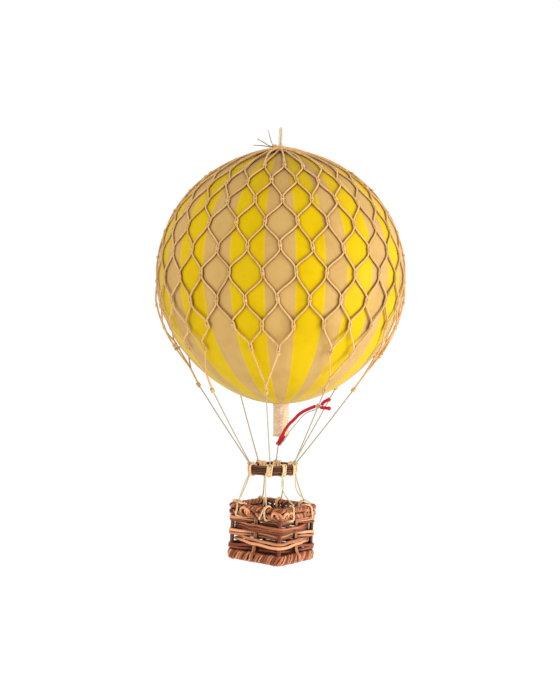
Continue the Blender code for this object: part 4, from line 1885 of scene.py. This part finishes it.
        # Outside is 1 and inside -1, at each station
        outside = (-1, -1, -1, 1, -1, -1, -1, 1)
        sign = 1 if row % 2 == 0 else -1
        waves = [draw.uniform(0, tau) for _ in range(3)]
        rises = [draw.uniform(-0.0005, 0.0005) for _ in outside]
        for station, rise in self.slopes.get(row, {}).items():
            rises[station] += rise
        thick *= draw.uniform(0.92, 1.05)
        steps = 176
        points = []
        for step in range(steps):
            share = step / steps
            first, rest = divmod(share * 8, 1)
            here, after = int(first) % 8, (int(first) + 1) % 8
            eased = 0.5 - 0.5 * cos(pi * rest)
            across = sign * (outside[here] + (outside[after] - outside[here]) * eased)
            across *= self.reach_out if across > 0 else self.reach_in
            rise = rises[here] + (rises[after] - rises[here]) * eased
            wave = 0.0002 * sin(3 * tau * share + waves[0])
            wave += 0.00012 * sin(11 * tau * share + waves[1])
            across += 0.00015 * sin(7 * tau * share + waves[2])
            at, out = path.at(path.length * share)
            points.append(self.place @ (at + out * across + UP * (height + wave + rise)))
        return Strand(points, Make(thick, sides=8), draw.random(), closed=True)

    def build_posts(self, draw: random.Random) -> None:
        """Builds the four corner posts."""
        for number, (x, y) in enumerate(((1, -1), (1, 1), (-1, 1), (-1, -1)), start=1):
            side = Vector((x * self.post_at, y * self.post_at, 0.0))
            foot = self.place @ (side + UP * (self.foot_top - 0.001))
            head = self.place @ (side + UP * (self.rim_low + 0.001))
            points = smooth_route([foot, (foot + head) / 2, head], 0.002)
            strand = Strand(points, Make(self.post, sides=10), draw.uniform(0.3, 0.6))
            post = make_strands([strand], f"willow_post_{number}")
            dress(post, self.finishes.dark_willow, "wicker", Body.BASKET, f"corner_post_{number}")

    def build_walls(self, draw: random.Random) -> None:
        """Builds the stakes, which run down over the foot, and the weavers."""
        stakes = []
        for face in range(4):
            for side in (-0.5, 0.5):
                aside = side * self.stake * 1.04
                lean = draw.uniform(-0.0007, 0.0004)
                route = [
                    self.spot(aside + lean, self.half + 0.0007, self.bottom + 0.002, face),
                    self.spot(aside + lean * 0.6, self.half + 0.0006, self.foot_top - 0.0022, face),
                    self.spot(aside, self.post_at + 0.0012, self.foot_top + 0.0012, face),
                    self.spot(aside, self.post_at, (self.foot_top + self.rim_low) / 2, face),
                    self.spot(aside, self.post_at, self.rim_low + 0.001, face),
                ]
                make = Make(self.stake, sides=8)
                stakes.append(Strand(smooth_route(route, 0.0012), make, draw.uniform(0.4, 0.8), taper=0.8))
        walls = [f"basket_wall_{number}" for number in range(1, 5)]
        dress(make_strands(stakes, "willow_stakes"), self.finishes.willow, "wicker", Body.BASKET, *walls)
        weavers = []
        for row in range(self.rows):
            rods = 3 if row < 2 else 2
            weavers += [self.weaver(row, rod, rods, draw) for rod in range(rods)]
        dress(make_strands(weavers, "willow_weavers"), self.finishes.willow, "wicker", Body.BASKET)

    def build_borders(self, draw: random.Random) -> None:
        """Builds the plaited rim, two ropes of opposite twist one on the other, and the roped foot."""
        tier = self.rim_high / 2
        path = SquarePath(self.outer - self.rim_wide / 2, 0.0035)
        wide = (self.rim_wide - self.rim_rod) / 2
        high = (tier - self.rim_rod) / 2 + 0.0001
        rim = []
        for level, turn in ((0, 0.0088), (1, -0.0094)):
            middle = -tier * (level + 0.5)
            rim += self.rope_border(path, middle, wide, high, 5, self.rim_rod, turn=turn, draw=draw)
            rim += self.border_core(path, (middle,), thick=0.0024)
        for curl in self.rod_ends:
            rim.append(self.rod_end(*curl, draw.uniform(0.5, 1.0)))
        dress(make_strands(rim, "roped_rim"), self.finishes.willow, "wicker", Body.BASKET, "basket_rim")
        path = SquarePath(self.half - self.foot_wide / 2, 0.0032)
        middle = self.bottom + self.foot_high / 2
        wide = (self.foot_wide - self.foot_rod) / 2
        high = (self.foot_high - self.foot_rod) / 2
        foot = self.rope_border(path, middle, wide, high, 4, self.foot_rod, turn=0.0092, draw=draw)
        foot += self.border_core(path, [middle + step * 0.002 for step in (-1.2, 0.0, 1.2)], thick=0.0022)
        dress(make_strands(foot, "roped_foot"), self.finishes.willow, "wicker", Body.BASKET, "basket_foot")

    def build_floor(self, draw: random.Random) -> None:
        """Weaves the floor of rods over cross rods."""
        reach = self.half - self.foot_wide - 0.0005
        height = self.bottom + self.foot_high / 2 - 0.0006
        strands = []
        crossings, rods, steps = 6, 18, 40
        for number in range(rods):
            aside = -reach + 2 * reach * (number + 0.5) / rods
            side = 1 if number % 2 else -1
            points = []
            for step in range(steps + 1):
                along = -reach + 2 * reach * step / steps
                wave = side * 0.0006 * cos(pi * crossings * (along + reach) / (2 * reach))
                points.append(self.place @ Vector((along, aside, height + wave)))
            strands.append(Strand(points, Make(2 * reach / rods * 0.94, sides=7), draw.random()))
        for number in range(crossings + 1):
            along = -reach + 2 * reach * number / crossings
            ends = [self.place @ Vector((along * 0.97, end * reach, height)) for end in (-1, 1)]
            points = smooth_route([ends[0], (ends[0] + ends[1]) / 2, ends[1]], 0.003)
            strands.append(Strand(points, Make(0.0014, sides=7), 0.3))
        floor = make_strands(strands, "woven_floor")
        dress(floor, self.finishes.dark_willow, "wicker", Body.BASKET, "basket_floor")

    def build(self) -> None:
        """Builds the whole basket."""
        draw = random.Random(self.seed)
        self.build_posts(draw)
        self.build_walls(draw)
        self.build_borders(draw)
        self.build_floor(draw)


@dataclass
class BasketCords:
    """The eight cords from the load ring to the rim, and the loops by which they are tied round it.

    A tie's points are given by metres along the side from the cord's end, the share of the way from the rim's
    outer face to its inner one, and the height above the rim's top.
    """

    finishes: Finishes
    ring: LoadRing
    basket: Basket
    cord: float = 0.00108
    names: tuple[str, ...] = (
        "left_front", "front_left", "front_right", "right_front",
        "right_back", "back_right", "back_left", "left_back",
    )
    faces: tuple[int, ...] = (0, 0, 1, 1, 2, 2, 3, 3)
    along: tuple[float, ...] = (-0.0155, 0.009, -0.006, 0.017, -0.0125, 0.008, -0.018, 0.0125)
    hang: tuple[float, ...] = (0.85, 1.2, 2.6, 3.4, 1.5, 1.1, 1.1, 1.25)
    swing_start: float = -0.2569
    start_drop: float = 0.0046
    tuck: float = 0.003
    drawn: float = 0.1
    seed: int = 17
    square_tie: Route = (
        (-0.001, 1.0, -0.0035), (-0.0006, 0.6, 0.0004), (0.0008, 0.15, 0.0004), (0.0014, 0.0, -0.0014),
        (0.0012, 0.0, -0.0042), (0.0004, 0.0, -0.007), (0.0008, 0.04, -0.0084), (0.0024, 0.3, -0.009),
        (0.0044, 0.92, -0.0086), (0.0052, 1.0, -0.003), (0.0058, 0.6, 0.0004), (0.0048, 0.22, 0.0006),
        (0.0018, 0.16, 0.001),
    )
    forked_tie: Route = (
        (-0.0042, 0.8, -0.0088), (-0.0038, 0.1, -0.0086), (-0.0028, 0.0, -0.0072), (-0.0012, 0.0, -0.0042),
        (0.0002, 0.0, -0.0014), (0.0012, 0.2, 0.0004), (0.0014, 0.6, 0.0006), (0.0018, 0.98, -0.002),
        (0.0022, 0.8, -0.006), (0.0026, 0.98, -0.002), (0.0024, 0.6, 0.0007), (0.002, 0.22, 0.0006),
        (0.0011, 0.0, -0.0014), (0.0009, 0.0, -0.0046), (0.0016, 0.0, -0.008), (0.0022, 0.12, -0.0089),
        (0.003, 0.8, -0.0088),
    )
    hooked_tie: Route = (
        (0.0008, 1.0, -0.005), (0.0004, 0.96, -0.0004), (-0.0018, 0.6, 0.0007), (-0.004, 0.18, 0.0005),
        (-0.0052, 0.0, -0.0014), (-0.0053, 0.0, -0.004), (-0.0046, 0.0, -0.007), (-0.0052, 0.02, -0.0086),
        (-0.0074, 0.08, -0.0088), (-0.0084, 0.5, -0.009), (-0.0072, 0.98, -0.008), (-0.005, 1.0, -0.003),
    )
    arched_tie: Route = (
        (-0.0096, 0.98, -0.005), (-0.0092, 0.9, -0.0004), (-0.0078, 0.55, 0.0004), (-0.0062, 0.22, 0.0004),
        (-0.0048, 0.0, -0.0012), (-0.0038, 0.0, -0.004), (-0.0032, 0.0, -0.0078), (-0.0026, 0.14, -0.0089),
        (-0.002, 0.8, -0.0088), (-0.0012, 1.0, -0.004), (-0.0008, 0.85, 0.0), (-0.0014, 0.5, 0.0004),
    )

    def __post_init__(self) -> None:
        """Gives each cord its tie."""
        near = (self.square_tie, self.forked_tie, self.hooked_tie, self.arched_tie)
        self.ties = near + (self.forked_tie,) * 3 + (self.square_tie,)

    def tie(self, index: int) -> list[Vector]:
        """Leads a tie round the rim.

        Args:
            index: The cord's number.

        Returns:
            The points of its centreline.
        """
        basket = self.basket
        outer = basket.outer + self.cord / 2 + 0.0001
        span = basket.rim_wide + self.cord + 0.0002
        face, end = self.faces[index], self.along[index]
        return [
            basket.spot(end + aside, outer - share * span, height, face)
            for aside, share, height in self.ties[index]
        ]

    def cord_route(self, index: int) -> list[Vector]:
        """Leads a cord from the ring's outer edge to the rim.

        Neighbouring cords run close together at first and part near the basket.

        Args:
            index: The cord's number.

        Returns:
            The points of its centreline.
        """
        basket, ring = self.basket, self.ring
        azimuth = radians(ring.cord_azimuths[index])
        start = ring.centre + outwards(azimuth, ring.radius + ring.line_clearance, -self.start_drop)
        ends = []
        for number in (index, len(self.names) - 1 - index):
            middle_out = basket.outer - basket.rim_wide / 2
            ends.append(basket.spot(self.along[number], middle_out, self.cord, self.faces[number]))
        end, other = ends
        drawn = (other - end) * self.drawn
        route = [start + UP * self.tuck, start]
        for share in (0.3, 0.6, 0.85):
            aside = share ** self.hang[index]
            level = start.lerp(end, aside) + drawn * sin(pi * share)
            route.append(Vector((level.x, level.y, start.z + (end.z - start.z) * share)))
        return route + [end]

    def build(self) -> None:
        """Builds the cords, which bend from the ring to the basket, and their ties."""
        draw = random.Random(self.seed)
        make = Make(self.cord, plies=2, turn=0.0038, sides=8, groove=0.25)
        tie_make = Make(self.cord * 1.38, plies=2, turn=0.0042, sides=8, groove=0.2)
        for index, name in enumerate(self.names):
            route = self.cord_route(index)
            strand = Strand(smooth_route(route, 0.0007), make, draw.uniform(0.3, 0.8))
            cord = make_strands([strand], "suspension_" + name)
            dress(cord, self.finishes.basket_twine, "rigging_cord", None, "basket_cord_" + name)
            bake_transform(cord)
            loop = Strand(smooth_route(self.tie(index), 0.0006), tie_make, draw.uniform(0.4, 0.9))
            tie = make_strands([loop], "rim_tie_" + name)
            dress(tie, self.finishes.tie_twine, "rigging_cord", Body.BASKET)


@dataclass
class ValveCord:
    """The red cord tied across the rigging, its two knotted tails and the tan thread beside it.

    Attributes:
        route: The cord's way, from its fixed end at the back up to its knot on the right.
        fold: The way of the cord's lower end where it is doubled.
        thread: The way of the tan thread.
        crossing: Where twine ties both to a leg of the rigging.
    """

    finishes: Finishes
    diameter: float = 0.0022
    route: Route = (
        (-0.0026, 0.0215, -0.2345), (-0.0016, 0.01, -0.233), (-0.0014, 0.0, -0.2312),
        (-0.0004, -0.007, -0.2287), (0.0013, -0.0088, -0.2256), (0.0033, -0.0112, -0.2215),
        (0.0061, -0.0141, -0.2175), (0.0094, -0.0175, -0.2141), (0.0126, -0.021, -0.2105),
        (0.016, -0.025, -0.2078), (0.02, -0.03, -0.2056), (0.024, -0.035, -0.2036),
    )
    upper_tail: Route = (
        (0.0286, -0.0385, -0.2024), (0.0303, -0.04, -0.2002), (0.0325, -0.0412, -0.199),
        (0.0335, -0.0418, -0.1986),
    )
    lower_tail: Route = (
        (0.0282, -0.038, -0.2044), (0.03, -0.0398, -0.2044), (0.0322, -0.0412, -0.2046),
        (0.0336, -0.042, -0.2048),
    )
    fold: Route = (
        (-0.0016, 0.02, -0.2352), (-0.0003, 0.01, -0.2334), (0.0, 0.0, -0.2314), (0.0013, -0.0066, -0.2289),
        (0.0027, -0.0084, -0.2267),
    )
    thread: Route = (
        (-0.0004, -0.006, -0.233), (0.003, -0.0085, -0.229), (0.0062, -0.0125, -0.2232),
        (0.011, -0.0175, -0.217), (0.015, -0.0225, -0.2118), (0.019, -0.029, -0.2082),
        (0.024, -0.0355, -0.206), (0.0262, -0.0368, -0.204),
    )
    crossing: Place = (0.0262, -0.0368, -0.2034)

    def build(self) -> None:
        yarn = Make(self.diameter * 1.08, plies=2, turn=0.0044, sides=10, groove=0.14)
        points = smooth_route(self.route, 0.0006)
        cord = make_strands([Strand(points, yarn, 0.5)], "crimson_cord")
        dress(cord, self.finishes.crimson_yarn, "red_cord", Body.BALLOON, "valve_cord")
        for name, route in (("upper", self.upper_tail), ("lower", self.lower_tail)):
            line = smooth_route(route, 0.0005)
            way = (line[-1] - line[-4]).normalized()
            turns = coil(line[-1], way, radius=0.0009, turns=2.3, rise=0.0014)
            knot = Strand(turns, Make(0.0011, sides=7), 0.6)
            tail = make_strands([Strand(line, yarn, 0.45), knot], "crimson_tail_" + name)
            dress(tail, self.finishes.crimson_yarn, "red_cord", Body.BALLOON, "valve_cord_tail_" + name)
        fold = Strand(smooth_route(self.fold, 0.0006), yarn, 0.4, taper=0.8)
        dress(make_strands([fold], "crimson_fold"), self.finishes.crimson_yarn, "red_cord", Body.BALLOON)
        axis = Vector((0.5, -0.3, 0.8))
        turns = coil(Vector(self.crossing), axis, radius=0.0012, turns=2.6, rise=0.0026)
        tie = make_strands([Strand(turns, Make(0.001, sides=7), 0.7)], "crossing_tie")
        dress(tie, self.finishes.net_twine, "net_cord", Body.BALLOON)
        thin = Make(0.0007, plies=2, turn=0.0026, sides=8, groove=0.3)
        thread = make_strands([Strand(smooth_route(self.thread, 0.0007), thin)], "tan_thread")
        dress(thread, self.finishes.line_twine, "net_cord", Body.BALLOON)


def main() -> None:
    """Builds the whole model, sub-assembly by sub-assembly, and reports each piece."""
    logging.basicConfig(level=logging.INFO, format="%(name)s: %(message)s")
    Studio().build()
    finishes = mix_finishes()
    ValveCord(finishes).build()
    Envelope(finishes).build()
    Neck(finishes).build()
    net = Net(finishes)
    net.build()
    Crown(finishes, net).build()
    HangingLoop(finishes).build()
    ring = LoadRing(finishes)
    ring.build()
    Rigging(finishes, net, ring).build()
    basket = Basket(finishes, ring)
    basket.build()
    BasketCords(finishes, ring, basket).build()


if __name__ == "__main__":
    main()
